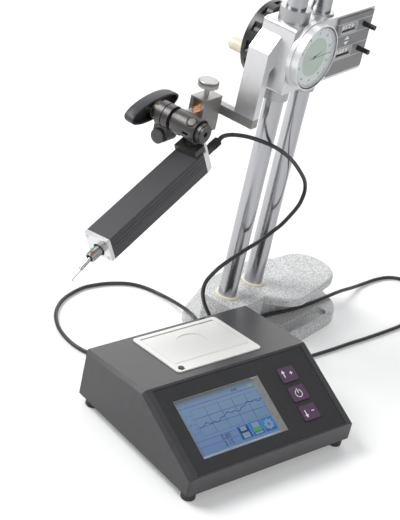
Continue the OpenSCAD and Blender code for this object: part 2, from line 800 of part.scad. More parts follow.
module lead_screw() {
    color("Silver") in_drive() translate([drive_x0 + 9, 0, screw_z]) rod_x(screw_d, drive_len - 9 - 34 + 7);
}

module slide_block() {
    low = drive_low + drive_wall + 0.4;
    high = drive_top - drive_wall - 0.4;
    color("DarkGray") in_drive() difference() {
        translate([block_x0, -drive_w / 2 + drive_wall + 0.8, low])
            cube([block_len, drive_w - 2 * drive_wall - 1.6, high - low]);
        translate([block_x0 - 1, 0, screw_z]) rod_x(screw_d + 2 * fit, block_len + 2);
        for (y = [-guide_y, guide_y]) translate([block_x0 - 1, y, rod_z]) rod_x(rod_d + 2 * fit, block_len + 2);
        translate([block_x0 - 1, 0, pickup_z]) rod_x(pickup_d - 3 + 2 * fit, 9);
    }
}

module guide_rods() {
    color("Silver") in_drive() for (y = [-guide_y, guide_y])
        translate([drive_x0, y, rod_z]) rod_x(rod_d, drive_len);
}

module pickup_sleeve() {
    color("Silver") in_drive() difference() {
        translate([0, 0, pickup_z]) {
            translate([sleeve_x, 0, 0]) rod_x(pickup_d, block_x0 - sleeve_x);
            translate([block_x0, 0, 0]) rod_x(pickup_d - 3, 8);
        }
        translate([sleeve_x - 1, 0, pickup_z]) rod_x(arm_d + 3.4, 11);
        translate([sleeve_x, 0, pickup_z - pickup_d / 2]) rotate([0, -35, 0])
            translate([-20, -10, -10]) cube([20, 20, 30]);
    }
    color("Silver") in_drive() translate([pivot_x, -pickup_d / 2 + 0.4, pickup_z]) rod_y(1.4, pickup_d - 0.8);
}

module stylus_arm() {
    color("Silver") in_drive() translate([pivot_x, 0, pickup_z]) rotate([0, -arm_droop, 0]) {
        difference() {
            translate([-arm_out - 4.5, 0, 0]) rod_x(arm_d, arm_out + 7);
            translate([0, -arm_d, 0]) rod_y(1.4 + 2 * fit, 2 * arm_d);
        }
        translate([-arm_out - 4.5 - needle_len, 0, -arm_d / 2 + 0.9]) rod_x(1.4, needle_len + 1);
        translate([-arm_out - 4.5 - needle_len + 0.8, 0, -arm_d / 2 - 2.4])
            cylinder(d1 = 0.4, d2 = 1.2, h = 3);
    }
}

// Swivel

module swivel_saddle() {
    color([0.22, 0.2, 0.19]) in_drive() difference() {
        union() {
            translate([drive_x1 + plate_t - saddle_len, -drive_w / 2 + 1.4, drive_top])
                cube([saddle_len, drive_w - 2.8, saddle_h]);
            translate([0, 0, drive_top]) cylinder(d = socket_d, h = socket_h);
        }
        translate([0, 0, drive_top + 1]) cylinder(d = stem_d + 2 * fit, h = socket_h + 2);
    }
}

module swivel_ball() {
    color("Silver") in_drive() {
        sphere(d = ball_d);
        translate([0, 0, drive_top + 1.2]) cylinder(d = stem_d, h = ball_above - 1.2);
    }
}

module stem_window() {
    reach = 2 * barrel_r;
    turns = [-46, -23, 0, 23, 46, 68];
    translate([0, 5, 0]) rotate([90, 0, 0]) linear_extrude(10)
        polygon(concat([[0, 0]], [for (a = turns) reach * [sin(a), -cos(a)]]));
}

module swivel_barrel() {
    color([0.24, 0.21, 0.2]) difference() {
        union() {
            translate([ball_at[0], barrel_y0, ball_at[2]]) rod_y(barrel_d, barrel_len);
            translate([ball_at[0] + 4, shank_y0, shank_z0])
                cube([shank_end - ball_at[0] - 4, shank_t, shank_t]);
        }
        translate(ball_at) {
            sphere(d = ball_d + 2 * ball_clear);
            translate([0, -20, 0]) rod_y(ball_d + 2 * ball_clear, 20);
            stem_window();
        }
        translate([ball_at[0], barrel_y1 - 8, ball_at[2]]) rod_y(8.4, 10);
    }
}

module barrel_cap() {
    color([0.3, 0.28, 0.27]) translate([ball_at[0], barrel_y0 - 1.6, ball_at[2]]) difference() {
        union() {
            rod_y(barrel_d - 1.6, 1.6);
            rod_y(ball_d + 2 * ball_clear - 2 * fit, 9);
        }
        translate([0, -1, 0]) rod_y(6, 5, $fn = 6);
    }
}

module swivel_collar() {
    x = ball_at[0];
    z = ball_at[2];
    color([0.24, 0.21, 0.2]) difference() {
        union() {
            translate([x, barrel_y1 - 7, z]) rod_y(8.3, 10);
            translate([x, barrel_y1, z]) rod_y(17, 24);
            for (y = [2, 10]) translate([x, barrel_y1 + y, z]) rod_y(2 * collar_r, 7);
            translate([x - 5, lug_y - lug_d / 2, z - lug_drop]) cube([10, lug_d, lug_drop]);
            translate([x - 1, lug_y, z - lug_drop]) rod_x(lug_d, 14);
        }
        translate([x, barrel_y1 + 8, z]) rod_y(knob_screw_d + 2 * fit, 20);
        translate([x - 1, lug_y - 0.8, z - lug_drop - 10]) cube([2, 1.6, lug_drop]);
    }
}

module lock_knob() {
    color([0.1, 0.1, 0.1]) translate([ball_at[0], knob_y0 + slip, ball_at[2]]) {
        translate([0, -knob_screw_len, 0]) rod_y(knob_screw_d, knob_screw_len + 1);
        rotate([0, -9, 0]) hull() {
            rod_y(knob_w, knob_t);
            for (side = [-1, 1])
                translate([side * (knob_len - knob_end_d) / 2, 0, 0]) rod_y(knob_end_d, knob_t - 1);
        }
    }
}

// Clamp

module clamp_block() {
    color("Silver") difference() {
        translate([clamp_x0, clamp_y0, clamp_z0]) cube([clamp_len, clamp_w, clamp_h]);
        translate([clamp_x0 - 1, shank_y0 - fit, shank_z0 - fit])
            cube([slot_x1 - clamp_x0 + 1, shank_t + 2 * fit, shank_t + pad_h + 1]);
        translate([thumb_x, clamp_y0 + clamp_w / 2, clamp_z1 - 8]) cylinder(d = 5 + 2 * fit, h = 10);
    }
}

module clamp_thumbscrew() {
    tip = pad_z0 + pad_h;
    color("Silver") translate([thumb_x, clamp_y0 + clamp_w / 2, 0]) {
        translate([0, 0, tip + fit]) cylinder(d = 5, h = clamp_z1 - tip + 12);
        difference() {
            translate([0, 0, clamp_z1 + 9]) cylinder(d = thumb_d, h = 7);
            for (k = [0:23]) rotate([0, 0, 15 * k])
                translate([thumb_d / 2 + 0.3, 0, clamp_z1 + 8]) cylinder(d = 1.6, h = 9, $fn = 16);
        }
        translate([0, 0, clamp_z1 + 6]) cylinder(d = 11, h = 3);
    }
}

module clamp_pad() {
    color([0.8, 0.45, 0.22]) translate([clamp_x0 + 1, shank_y0, pad_z0])
        cube([slot_x1 - clamp_x0 - 1.5, shank_t, pad_h]);
}

// Height gauge

function column_places() = [[-column_x, 0], [column_x, 0]];

module stand_base() {
    under_z = base_h - base_top_t;
    color([0.82, 0.82, 0.83]) difference() {
        union() {
            hull() for (c = low_tier) translate([c[0], c[1], 0]) cast_disc(c[2], tier_h, 5);
            linear_extrude(base_h) polygon(front_block);
            translate([0, 0, tier_h - 2]) linear_extrude(under_z - tier_h + 3)
                hull() for (c = neck) translate([c[0], c[1]]) circle(r = c[2]);
            hull() for (c = lobe) translate([c[0], c[1], under_z]) cast_disc(c[2], base_top_t, 3);
        }
        for (p = column_places()) translate([p[0], p[1], base_h - bore_depth])
            cylinder(d = column_d + 2 * fit, h = bore_depth + 1);
        translate([hollow_at[0], hollow_at[1], -1]) linear_extrude(hollow_h + 1)
            rounded(hollow[0], hollow[1], hollow[2]);
        translate([groove_at[0], groove_at[1], tier_h - groove_h]) rotate([0, 0, -3])
            linear_extrude(2 * groove_h) rounded(groove[0], groove[1], groove[2]);
    }
}

module columns() {
    color("Gainsboro") for (p = column_places()) translate([p[0], p[1], base_h - bore_depth])
        cylinder(d = column_d, h = gauge_h - 4 - base_h + bore_depth);
}

module column_rings() {
    color([0.9, 0.86, 0.74]) for (p = column_places()) translate([p[0], p[1], base_h]) difference() {
        cylinder(d = ring_d, h = ring_h);
        translate([0, 0, -1]) cylinder(d = column_d + 2 * fit, h = ring_h + 2);
    }
}

module top_bridge() {
    color([0.8, 0.8, 0.82]) difference() {
        translate([0, 0, gauge_h - bridge_h]) linear_extrude(bridge_h) rounded(column_pitch + bridge_d, bridge_d, bridge_r);
        for (p = column_places()) translate([p[0], p[1], gauge_h - bridge_h - 1])
            cylinder(d = column_d + 2 * fit, h = bridge_h - 3 + fit);
    }
}

module carriage_body() {
    len = carriage_front + carriage_rear;
    depth = carriage_dial_y + carriage_wheel_y;
    color([0.8, 0.8, 0.82]) difference() {
        union() {
            translate([len / 2 - carriage_front, carriage_wheel_y, carriage_z + carriage_h / 2])
                rotate([90, 0, 0]) linear_extrude(depth) rounded(len, carriage_h, 4);
            translate([dial_c[0], -carriage_dial_y - dial_boss_h, dial_c[1]])
                rod_y(2 * dial_boss_r, dial_boss_h + eps);
        }
        for (p = column_places()) translate([p[0], p[1], carriage_z - 1])
            cylinder(d = column_d + 5, h = carriage_h + 2);
        translate([0, -10, wheel_z]) rod_y(2 * shaft_r + 2 * fit, carriage_wheel_y + 20);
        translate([0, -7, wheel_z]) rod_y(2 * pinion_r + 2.2, 14);
        translate([counter_x0 + 6, -carriage_dial_y - 1, counter_z0 + 4])
            cube([counter_w - 27, 12, counter_h - 8]);
        for (z = pin_z) translate([pin_x, -carriage_dial_y - 1, z])
            rod_y(pin_d + 4, pin_in + pin_stroke + 2);
        translate([dial_c[0], -carriage_dial_y - 6, dial_c[1]]) rod_y(pointer_d + 2 * fit, 8);
    }
}

module bush(d, out, inner) {
    difference() {
        union() {
            cylinder(d = d, h = out);
            translate([0, 0, out - eps]) cylinder(d = column_d + 5 - 2 * fit, h = inner);
        }
        translate([0, 0, -1]) cylinder(d = column_d + 2 * bush_clear, h = out + inner + 2);
    }
}

module carriage_bushes() {
    color([0.72, 0.72, 0.75]) {
        for (p = column_places()) translate([p[0], p[1], carriage_z - bush_len])
            bush(bush_low_d, bush_len, 8);
        translate([-column_x, 0, carriage_z + carriage_h + bush_len]) mirror([0, 0, 1])
            bush(bush_top_d, bush_len, 8);
        translate([column_x, 0, carriage_z + carriage_h + 2]) mirror([0, 0, 1])
            bush(bush_low_d + 2, 2, 8);
    }
}

module jaw_arm() {
    arm_z = jaw_z0 + jaw_t;
    color([0.8, 0.8, 0.82]) translate([0, carriage_wheel_y, 0]) rotate([90, 0, 0])
        linear_extrude(carriage_wheel_y - jaw_y0)
            polygon([[jaw_x0, arm_z], [jaw_x1, arm_z], [jaw_x1, jaw_foot - 5], [-carriage_front, jaw_foot],
                     [-carriage_front, jaw_top], [jaw_x0, jaw_top - 15]]);
}

module jaw_bar() {
    color([0.75, 0.75, 0.78]) translate([jaw_x0, jaw_y0, jaw_z0])
        cube([jaw_t, clamp_y0 + clamp_w - jaw_y0, jaw_t]);
}

// Dial and counters

module in_dial(depth) {
    translate([dial_c[0], -carriage_dial_y - depth, dial_c[1]]) children();
}

module dial_bezel() {
    color([0.75, 0.75, 0.77]) in_dial(bezel_depth) difference() {
        union() {
            rod_y(2 * dial_r, bezel_depth - slip);
            translate([0, bezel_depth - slip - 4, 0]) rod_y(2 * dial_r + 2, 4);
        }
        translate([0, -1, 0]) rod_y(2 * glass_r, 1 + glass_t + 0.1);
        translate([0, -1, 0]) rod_y(2 * face_r, 1 + face_depth + face_t);
        rod_y(2 * dial_boss_r + 2 * fit, bezel_depth);
    }
}

module dial_face() {
    color("White") in_dial(bezel_depth - face_depth) difference() {
        rod_y(2 * face_r - 2 * fit, face_t);
        translate([0, -1, 0]) rod_y(pointer_d + 2 * slip, face_t + 2);
    }
}

module dial_glass() {
    color([0.8, 0.9, 0.95, 0.3]) in_dial(bezel_depth - 0.1) rod_y(2 * glass_r - 2 * fit, glass_t);
}

module dial_pointer() {
    color("Black") in_dial(bezel_depth - pointer_depth) {
        rod_y(pointer_d, bezel_depth - pointer_depth + 1);
        rod_y(6, 0.8);
        for (a = [38, 205]) rotate([0, a, 0]) translate([-0.5, 0, -5]) cube([1, 0.6, dial_r - 0.5]);
    }
}

module counter_panel() {
    color([0.45, 0.45, 0.47]) difference() {
        translate([counter_x0, -carriage_dial_y - 2, counter_z0]) cube([counter_w, 2, counter_h]);
        for (z = pin_z) {
            translate([counter_x0 + 8, -carriage_dial_y - 3, z - 4]) cube([26, 4, 8]);
            translate([pin_x, -carriage_dial_y - 3, z]) rod_y(pin_d + 2 * slip, 4);
        }
    }
}

module counter_drums() {
    color("White") for (z = pin_z) translate([counter_x0 + 7, -carriage_dial_y + 5.2, z]) {
        for (k = [0:4]) translate([1 + k * 5.3, 0, 0]) rod_x(10, 5);
        translate([-1, 0, 0]) rod_x(3, counter_w - 27);
    }
}

module reset_pin(z) {
    color("Black") translate([pin_x, -carriage_dial_y, z]) {
        translate([0, -pin_out, 0]) rod_y(pin_d, pin_out + pin_in);
        translate([0, 0.1, 0]) rod_y(pin_d + 3, 2);
    }
}

module reset_pin_upper() { reset_pin(pin_z[0]); }
module reset_pin_lower() { reset_pin(pin_z[1]); }

// Handwheel

module handwheel() {
    lobes = 12;
    grip_len = 0.62 * wheel_t;
    color([0.12, 0.12, 0.12]) translate([0, 0, wheel_z]) difference() {
        union() {
            translate([0, wheel_y0, 0]) difference() {
                rod_y(2 * wheel_r, wheel_t);
                for (k = [0:lobes - 1]) rotate([0, 360 * k / lobes, 0])
                    translate([wheel_r + 5.5, -1, 0]) rod_y(16, grip_len + 1);
                translate([0, wheel_t - 5, 0]) difference() {
                    rod_y(2 * wheel_r - 16, 6);
                    rod_y(22, 6);
                }
            }
            translate([0, carriage_wheel_y + slip, 0]) rod_y(20, wheel_gap);
            translate([0, -9, 0]) rod_y(2 * shaft_r, wheel_y0 + 9);
            translate([0, -6, 0]) rod_y(2 * pinion_r, 12);
        }
        translate([crank_at[0], wheel_y0 - 1, crank_at[1]]) rod_y(crank_pin_d + 2 * fit, wheel_t + 2);
    }
}

module crank_handle() {
    color("Ivory") translate([crank_at[0], wheel_y0, wheel_z + crank_at[1]])
        rotate([-90, 0, 0]) {
            translate([0, 0, 1]) cylinder(d = crank_pin_d, h = wheel_t + 1);
            translate([0, 0, wheel_t + slip]) rotate_extrude() {
                square([4, crank_len]);
                translate([0, 3]) square([6.5, crank_len - 6]);
            }
        }
}

console_base();
console_cover();
console_feet();
cover_screws();
front_panel();
lcd_frame();
lcd_module();
key_up();
key_start();
key_enter();
key_board();
printer_frame();
printer_door();
platen_roller();
paper_roll();
feed_button();
main_board();
battery_pack();
rear_socket();
console_plug();
cable_table();
cable_hanging();
drive_plug();
drive_housing();
drive_front_plate();
drive_rear_plate();
plate_screws();
drive_motor();
lead_screw();
slide_block();
guide_rods();
pickup_sleeve();
stylus_arm();
swivel_saddle();
swivel_ball();
swivel_barrel();
barrel_cap();
swivel_collar();
lock_knob();
clamp_block();
clamp_thumbscrew();
clamp_pad();
stand_base();
columns();
column_rings();
top_bridge();
carriage_body();
carriage_bushes();
jaw_arm();
jaw_bar();
dial_bezel();
dial_face();
dial_glass();
dial_pointer();
counter_panel();
counter_drums();
reset_pin_upper();
reset_pin_lower();
handwheel();
crank_handle();
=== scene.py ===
import bpy
import math
from mathutils import Matrix, Vector


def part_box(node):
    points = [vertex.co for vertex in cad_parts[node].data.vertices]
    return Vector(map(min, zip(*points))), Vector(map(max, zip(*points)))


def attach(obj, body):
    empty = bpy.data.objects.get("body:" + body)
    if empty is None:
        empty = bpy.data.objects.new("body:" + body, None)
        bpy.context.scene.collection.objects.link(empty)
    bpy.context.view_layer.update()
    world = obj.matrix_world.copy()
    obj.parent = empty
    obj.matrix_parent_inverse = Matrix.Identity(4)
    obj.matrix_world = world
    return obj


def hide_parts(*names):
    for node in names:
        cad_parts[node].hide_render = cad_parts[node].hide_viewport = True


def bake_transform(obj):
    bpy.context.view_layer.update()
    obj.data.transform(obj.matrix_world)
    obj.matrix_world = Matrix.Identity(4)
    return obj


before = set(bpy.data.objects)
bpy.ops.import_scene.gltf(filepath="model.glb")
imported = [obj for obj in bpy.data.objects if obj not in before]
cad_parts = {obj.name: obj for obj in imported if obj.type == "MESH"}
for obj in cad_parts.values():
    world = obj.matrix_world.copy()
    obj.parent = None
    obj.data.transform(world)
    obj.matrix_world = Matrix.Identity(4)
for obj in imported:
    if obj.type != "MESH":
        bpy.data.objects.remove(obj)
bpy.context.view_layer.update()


# Studio: a pale floor, large soft lights and the camera at the photograph's viewing angle.
# The floor is a matt sheet that shows almost white to the camera and keeps the shadows.
class Wire:
    """A socket in a shader. Arithmetic on it adds Math nodes."""

    def __init__(self, tree, socket=None):
        self.tree = tree
        self.socket = socket

    def node(self, kind, settings, sockets, out=0):
        made = self.tree.nodes.new(kind)
        for key, value in settings.items():
            setattr(made, key, value)
        for key, value in sockets.items():
            if isinstance(value, Wire):
                self.tree.links.new(value.socket, made.inputs[key])
            else:
                made.inputs[key].default_value = value
        return Wire(self.tree, made.outputs[out])

    def math(self, operation, first, second=0.0):
        return self.node("ShaderNodeMath", {"operation": operation}, {0: first, 1: second})

    def __add__(self, other):
        return self.math("ADD", self, other)

    def __radd__(self, other):
        return self.math("ADD", other, self)

    def __sub__(self, other):
        return self.math("SUBTRACT", self, other)

    def __rsub__(self, other):
        return self.math("SUBTRACT", other, self)

    def __mul__(self, other):
        return self.math("MULTIPLY", self, other)

    def __rmul__(self, other):
        return self.math("MULTIPLY", other, self)

    def __truediv__(self, other):
        return self.math("DIVIDE", self, other)

    def __rtruediv__(self, other):
        return self.math("DIVIDE", other, self)

    def __lt__(self, other):
        return self.math("LESS_THAN", self, other)

    def __gt__(self, other):
        return self.math("GREATER_THAN", self, other)

    def __or__(self, other):
        return self.math("MAXIMUM", self, other)

    def __and__(self, other):
        return self.math("MULTIPLY", self, other)

    def __abs__(self):
        return self.math("ABSOLUTE", self)

    def into(self, shader, name):
        self.tree.links.new(self.socket, shader.inputs[name])


def new_finish(name, colour, roughness, metallic=0.0):
    material = bpy.data.materials.new(name)
    material.use_nodes = True
    shader = material.node_tree.nodes["Principled BSDF"]
    shader.inputs["Base Color"].default_value = (*colour, 1)
    shader.inputs["Roughness"].default_value = roughness
    shader.inputs["Metallic"].default_value = metallic
    return material, shader, Wire(material.node_tree)


def deselect():
    bpy.ops.object.select_all(action="DESELECT")


floor_size, floor_at = 7, (0.5, 0.3, -0.0004)
floor_white, floor_roughness, glow_share = (0.96, 0.96, 0.96), 0.85, 0.16
deselect()
bpy.ops.mesh.primitive_plane_add(size=floor_size)
floor = bpy.context.object
floor.name = "floor"
floor.data.transform(Matrix.Translation(floor_at))
floor_paint, floor_shader, wire = new_finish("floor_paint", floor_white, floor_roughness)
seen = wire.node("ShaderNodeLightPath", {}, {}, "Is Camera Ray")
ray_kinds = seen.socket.node.outputs
for kind in ("Is Glossy Ray", "Is Transmission Ray"):
    seen = seen | Wire(wire.tree, ray_kinds[kind])
glow = wire.node("ShaderNodeEmission", {}, {"Color": (1, 1, 1, 1), "Strength": 1.0})
matt = Wire(wire.tree, floor_shader.outputs[0])
shown = wire.node("ShaderNodeMixShader", {}, {0: seen * glow_share, 1: matt, 2: glow})
wire.tree.links.new(shown.socket, wire.tree.nodes["Material Output"].inputs["Surface"])
floor.data.materials.append(floor_paint)

wall_colour, wall_strength = (0.86, 0.88, 0.9, 1), 0.36
scene = bpy.context.scene
scene.view_settings.view_transform = "Standard"
scene.world = bpy.data.worlds.new("studio_walls")
scene.world.use_nodes = True
walls = scene.world.node_tree.nodes["Background"]
walls.inputs["Color"].default_value = wall_colour
walls.inputs["Strength"].default_value = wall_strength
aim = Vector((-0.06, -0.04, 0.14))
lamps = [("key_light", (-0.8, 0.95, 1.35), 0.9, 29),
         ("fill_light", (-0.6, -1.7, 1.2), 1.2, 13),
         ("back_light", (1.35, 0.8, 1.25), 1.8, 19)]
for name, place, size, watts in lamps:
    lamp = bpy.data.objects.new(name, bpy.data.lights.new(name, "AREA"))
    lamp.data.size = size
    lamp.data.energy = watts
    lamp.location = place
    lamp.rotation_euler = (aim - Vector(place)).to_track_quat("-Z", "Y").to_euler()
    scene.collection.objects.link(lamp)

eye, lens_mm, sensor_mm, nearest = (-1.1402, -0.6547, 0.8172), 102.4, 36, 0.01
ahead = Vector((0.73817, 0.45917, -0.4942)).normalized()
across = Vector((0.60827, -0.76980, 0.1935))
across = (across - across.dot(ahead) * ahead).normalized()
upward = across.cross(ahead)
camera = bpy.data.objects.new("camera", bpy.data.cameras.new("camera"))
camera.data.lens = lens_mm
camera.data.sensor_width = sensor_mm
camera.data.clip_start = nearest
turn = Matrix((across, upward, -ahead)).transposed().to_4x4()
camera.matrix_world = Matrix.Translation(eye) @ turn
scene.collection.objects.link(camera)
scene.camera = camera

# Cable: one black rubber-sheathed signal cable from the drive unit's plug down in a loop to the table,
# round by the base and the console, and up to the plug at the console's back. Its hanging part is cut
# into stretches near the holder's joints. Route points are in millimetres.
cable_d = 0.004
console_at, console_turn = (-0.166, -0.1725, 0.0093), math.radians(-12.8)
console_frame = Matrix.Translation(console_at) @ Matrix.Rotation(console_turn, 4, "Z")
ball_at = Vector((-0.1065, 0.032, 0.2473))
drive_tilt, drive_roll = math.radians(-24.4), math.radians(-7.6)
drive_frame = (Matrix.Translation(ball_at) @ Matrix.Rotation(drive_tilt, 4, "Y")
               @ Matrix.Rotation(drive_roll, 4, "X"))
plug_root_x, plug_end_x, plug_y, plug_z = 0.004, 0.024, -0.0095, -0.031
socket_x, socket_y, socket_end_y, socket_z = 0.062, 0.167, 0.1866, 0.021
drive_exit = drive_frame @ Vector((plug_end_x, plug_y, plug_z))
drive_out = drive_frame.to_3x3() @ Vector((1, 0, 0))
console_exit = console_frame @ Vector((socket_x, socket_end_y, socket_z))
console_out = console_frame.to_3x3() @ Vector((0, 1, 0))
drive_straight, console_straight = 0.006, 0.008
hanging = [(-61, 13, 235.5), (-54, 2, 237), (-47, -7, 235.8), (-40, -12, 233), (-29.5, -16, 228),
           (-14.5, -19, 219), (3, -21, 206.5), (18, -23, 192.5), (32, -24, 177.5), (38, -24, 165),
           (37, -24, 154.5), (31, -24, 146), (11, -24, 134.5), (-6, -24, 130), (-21, -23, 125),
           (-38, -22, 122), (-55, -21, 118.5), (-69, -19, 114), (-81, -17, 108), (-90, -14, 97),
           (-89, -12, 84), (-79, -9, 67.5), (-63, -5, 49), (-50, -3, 33), (-46.5, -4, 18),
           (-46, -8, 9.5), (-46, -13, 6)]
lying = [(-46, -13, 6), (-46, -18, 2.5), (-42, -25, 2), (-32, -29.5, 2), (-23, -33, 5), (-12.5, -35.3, 10),
         (-1, -33.3, 17.4), (14, -26, 16.8), (24, -22.5, 16.6), (40, -26, 16.4), (56, -31, 16.4),
         (74, -35, 16.4), (98, -38.5, 16.4), (123, -42, 17.2), (136, -42, 15.6), (150, -41, 12.5),
         (173, -40, 7), (194, -39.5, 3), (222, -43, 2), (239, -49, 2), (249.6, -59, 2), (253, -75, 2),
         (248, -90, 2), (236, -102, 2), (216, -111, 2), (188, -115, 2), (159, -114, 2), (112, -105.5, 2),
         (83, -99, 2), (53, -93, 2), (8, -82, 2), (-30, -70, 2), (-70, -52, 2), (-105, -30, 2),
         (-135, -2, 2), (-154, 28, 2), (-163, 56, 2), (-163.5, 78, 2), (-155, 102, 2), (-137, 123, 2),
         (-112, 136, 2), (-82, 139.5, 2), (-63, 135.5, 2), (-46, 128, 2), (-29, 115, 2), (-20.5, 99, 2),
         (-19, 77, 3.5), (-27, 57, 10), (-36, 36, 16), (-43, 25, 20), (-50.5, 16, 24.4), (-57.5, 9.5, 28.4)]
hang_route = [drive_exit, drive_exit + drive_straight * drive_out] + [Vector(p) / 1000 for p in hanging]
table_route = [Vector(p) / 1000 for p in lying]
table_route += [console_exit + console_straight * console_out, console_exit]


def smooth_line(points, step):
    """Points about a step apart on a smooth curve through the given ones."""
    line = []
    for i in range(len(points) - 1):
        before, here = points[max(i - 1, 0)], points[i]
        there, after = points[i + 1], points[min(i + 2, len(points) - 1)]
        count = max(1, round((there - here).length / step))
        for k in range(count):
            t = k / count
            line.append(0.5 * (2 * here + (there - before) * t
                               + (2 * before - 5 * here + 4 * there - after) * t ** 2
                               + (3 * here - before - 3 * there + after) * t ** 3))
    return line + [points[-1]]


def run_length(line):
    return sum((b - a).length for a, b in zip(line, line[1:]))


def cable_stretch(name, line, swell=0.0):
    """A tube along a line. Swell is how much thicker its first end is, as a share of the cable."""
    swell_lost = 0.8
    curve = bpy.data.curves.new(name, "CURVE")
    curve.dimensions = "3D"
    curve.bevel_depth = cable_d / 2
    curve.bevel_resolution = 4
    curve.use_fill_caps = True
    spline = curve.splines.new("POLY")
    spline.points.add(len(line) - 1)
    for k, (point, place) in enumerate(zip(spline.points, line)):
        point.co = (*place, 1)
        point.radius = 1 + swell * (1 - swell_lost * k / (len(line) - 1))
    tube = bpy.data.objects.new(name, curve)
    scene.collection.objects.link(tube)
    deselect()
    tube.select_set(True)
    bpy.context.view_layer.objects.active = tube
    bpy.ops.object.convert(target="MESH")
    tube = bpy.context.object
    tube.name = name
    bpy.ops.object.shade_smooth_by_angle(angle=math.radians(50))
    return tube


def noise(wire, scale, detail=2.0, stretch=(1, 1, 1)):
    place = wire.node("ShaderNodeTexCoord", {}, {}, "Object")
    if stretch != (1, 1, 1):
        place = wire.node("ShaderNodeMapping", {}, {"Vector": place, "Scale": stretch})
    return wire.node("ShaderNodeTexNoise", {}, {"Vector": place, "Scale": scale, "Detail": detail}, "Fac")


def mixed(mask, first, second):
    """The first colour where the mask is 0, the second where it is 1."""
    factor, first_colour, second_colour, result = 0, 6, 7, 2
    first = first if isinstance(first, Wire) else (*first, 1)
    second = second if isinstance(second, Wire) else (*second, 1)
    return mask.node("ShaderNodeMix", {"data_type": "RGBA"},
                     {factor: mask, first_colour: first, second_colour: second}, result)


def emboss(shader, height, strength, depth):
    """A fine relief on a finish, from a pattern's height."""
    relief = height.node("ShaderNodeBump", {}, {"Strength": strength, "Distance": depth, "Height": height})
    relief.into(shader, "Normal")


def grained(name, colour, second, scale, depth, roughness, spread, metallic=0.0, stretch=(1, 1, 1)):
    """A finish with a fine grain: two close colours, a roughness that wanders and a shallow relief."""
    cloud_size, grain_share, low, high, grain_detail, cloud_detail = 22, 0.6, 0.36, 0.64, 3.0, 2.0
    material, shader, wire = new_finish(name, colour, roughness, metallic)
    grain = noise(wire, scale, grain_detail, stretch)
    cloud = noise(wire, scale / cloud_size, cloud_detail, stretch)
    blotch = grain * grain_share + cloud * (1 - grain_share)
    mask = wire.node("ShaderNodeMapRange", {}, {"Value": blotch, "From Min": low, "From Max": high})
    mixed(mask, colour, second).into(shader, "Base Color")
    (roughness + spread * (cloud - 0.5) + spread * (grain - 0.5)).into(shader, "Roughness")
    emboss(shader, grain, strength=0.35, depth=depth)
    return material


cable_rubber = grained("cable_rubber", (0.016, 0.016, 0.017), (0.03, 0.03, 0.032),
                       scale=2600, depth=0.00008, roughness=0.42, spread=0.15)
hang_step, table_step = 0.0022, 0.0026
relief_reach, ball_reach, clamp_reach = 0.012, 0.046, 0.082
whole = smooth_line(hang_route, hang_step)
cuts = [0]
for reach in (relief_reach, ball_reach, clamp_reach):
    run = 0.0
    for i, (a, b) in enumerate(zip(whole, whole[1:])):
        run += (b - a).length
        if run >= reach:
            cuts.append(i + 1)
            break
cuts.append(len(whole) - 1)
stretches = [("cable_relief", "drive", "ball"), ("cable_at_ball", "ball", "swivel"),
             ("cable_at_clamp", "swivel", "carriage"), ("cable_loop", "carriage", "base")]
relief_swell, relief_root, tilt_bend, loop_foot, few_points = 0.12, 0.002, 0.017, 0.03, 5
for (name, near, far), first, last in zip(stretches, cuts, cuts[1:]):
    line = whole[first:last + 1]
    stretch = cable_stretch(name, line, relief_swell if name == "cable_relief" else 0.0)
    stretch.data.materials.append(cable_rubber)
    if name == "cable_relief":
        along = (line[-1] - line[0]).normalized()
        line[0] + relief_root * along
        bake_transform(stretch)
    elif name == "cable_at_ball":
        along = (line[few_points] - line[0]).normalized()
        line[0] + tilt_bend * along
        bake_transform(stretch)
    elif name == "cable_at_clamp":
        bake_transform(stretch)
    else:
        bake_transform(stretch)
    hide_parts("cable_hanging")
    if name != "cable_relief":
        run_length(line)
table_line = smooth_line(table_route, table_step)
cable_on_table = cable_stretch("cable_on_table", table_line)
cable_on_table.data.materials.append(cable_rubber)
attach(cable_on_table, "base")
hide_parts("cable_table")
run_length(table_line)


# Cable ends: a moulded black connector at the console's back, with grip ribs and a strain relief that
# thins toward the cable, and one on the drive unit with its ribs at the cable's end.
def turned(name, rings, sides=32):
    """A lathe-turned piece along Z, drawn out ring by ring: each ring is a radius and a height."""
    deselect()
    radius, height = rings[0]
    bpy.ops.mesh.primitive_circle_add(vertices=sides, radius=radius, fill_type="NGON",
                                      location=(0, 0, height))
    piece = bpy.context.object
    bpy.ops.object.transform_apply(location=True, rotation=False, scale=False)
    bpy.ops.object.mode_set(mode="EDIT")
    bpy.ops.mesh.select_all(action="SELECT")
    for next_radius, next_height in rings[1:]:
        bpy.ops.mesh.extrude_region_move(TRANSFORM_OT_translate={"value": (0, 0, next_height - height)})
        grow = next_radius / radius
        bpy.ops.transform.resize(value=(grow, grow, 1), center_override=(0, 0, next_height))
        radius, height = next_radius, next_height
    bpy.ops.mesh.select_all(action="SELECT")
    bpy.ops.mesh.normals_make_consistent(inside=False)
    bpy.ops.object.mode_set(mode="OBJECT")
    bpy.ops.object.shade_smooth_by_angle(angle=math.radians(35))
    piece.name = name
    return piece


def ribs(outer, inner, start, pitch, count):
    """Rings of a grip: raised bands with grooves between them."""
    band_end, groove_start, groove_end = 0.55, 0.65, 0.95
    rings = []
    for k in range(count):
        foot = start + k * pitch
        rings += [(outer, foot), (outer, foot + band_end * pitch),
                  (inner, foot + groove_start * pitch), (inner, foot + groove_end * pitch)]
    return rings


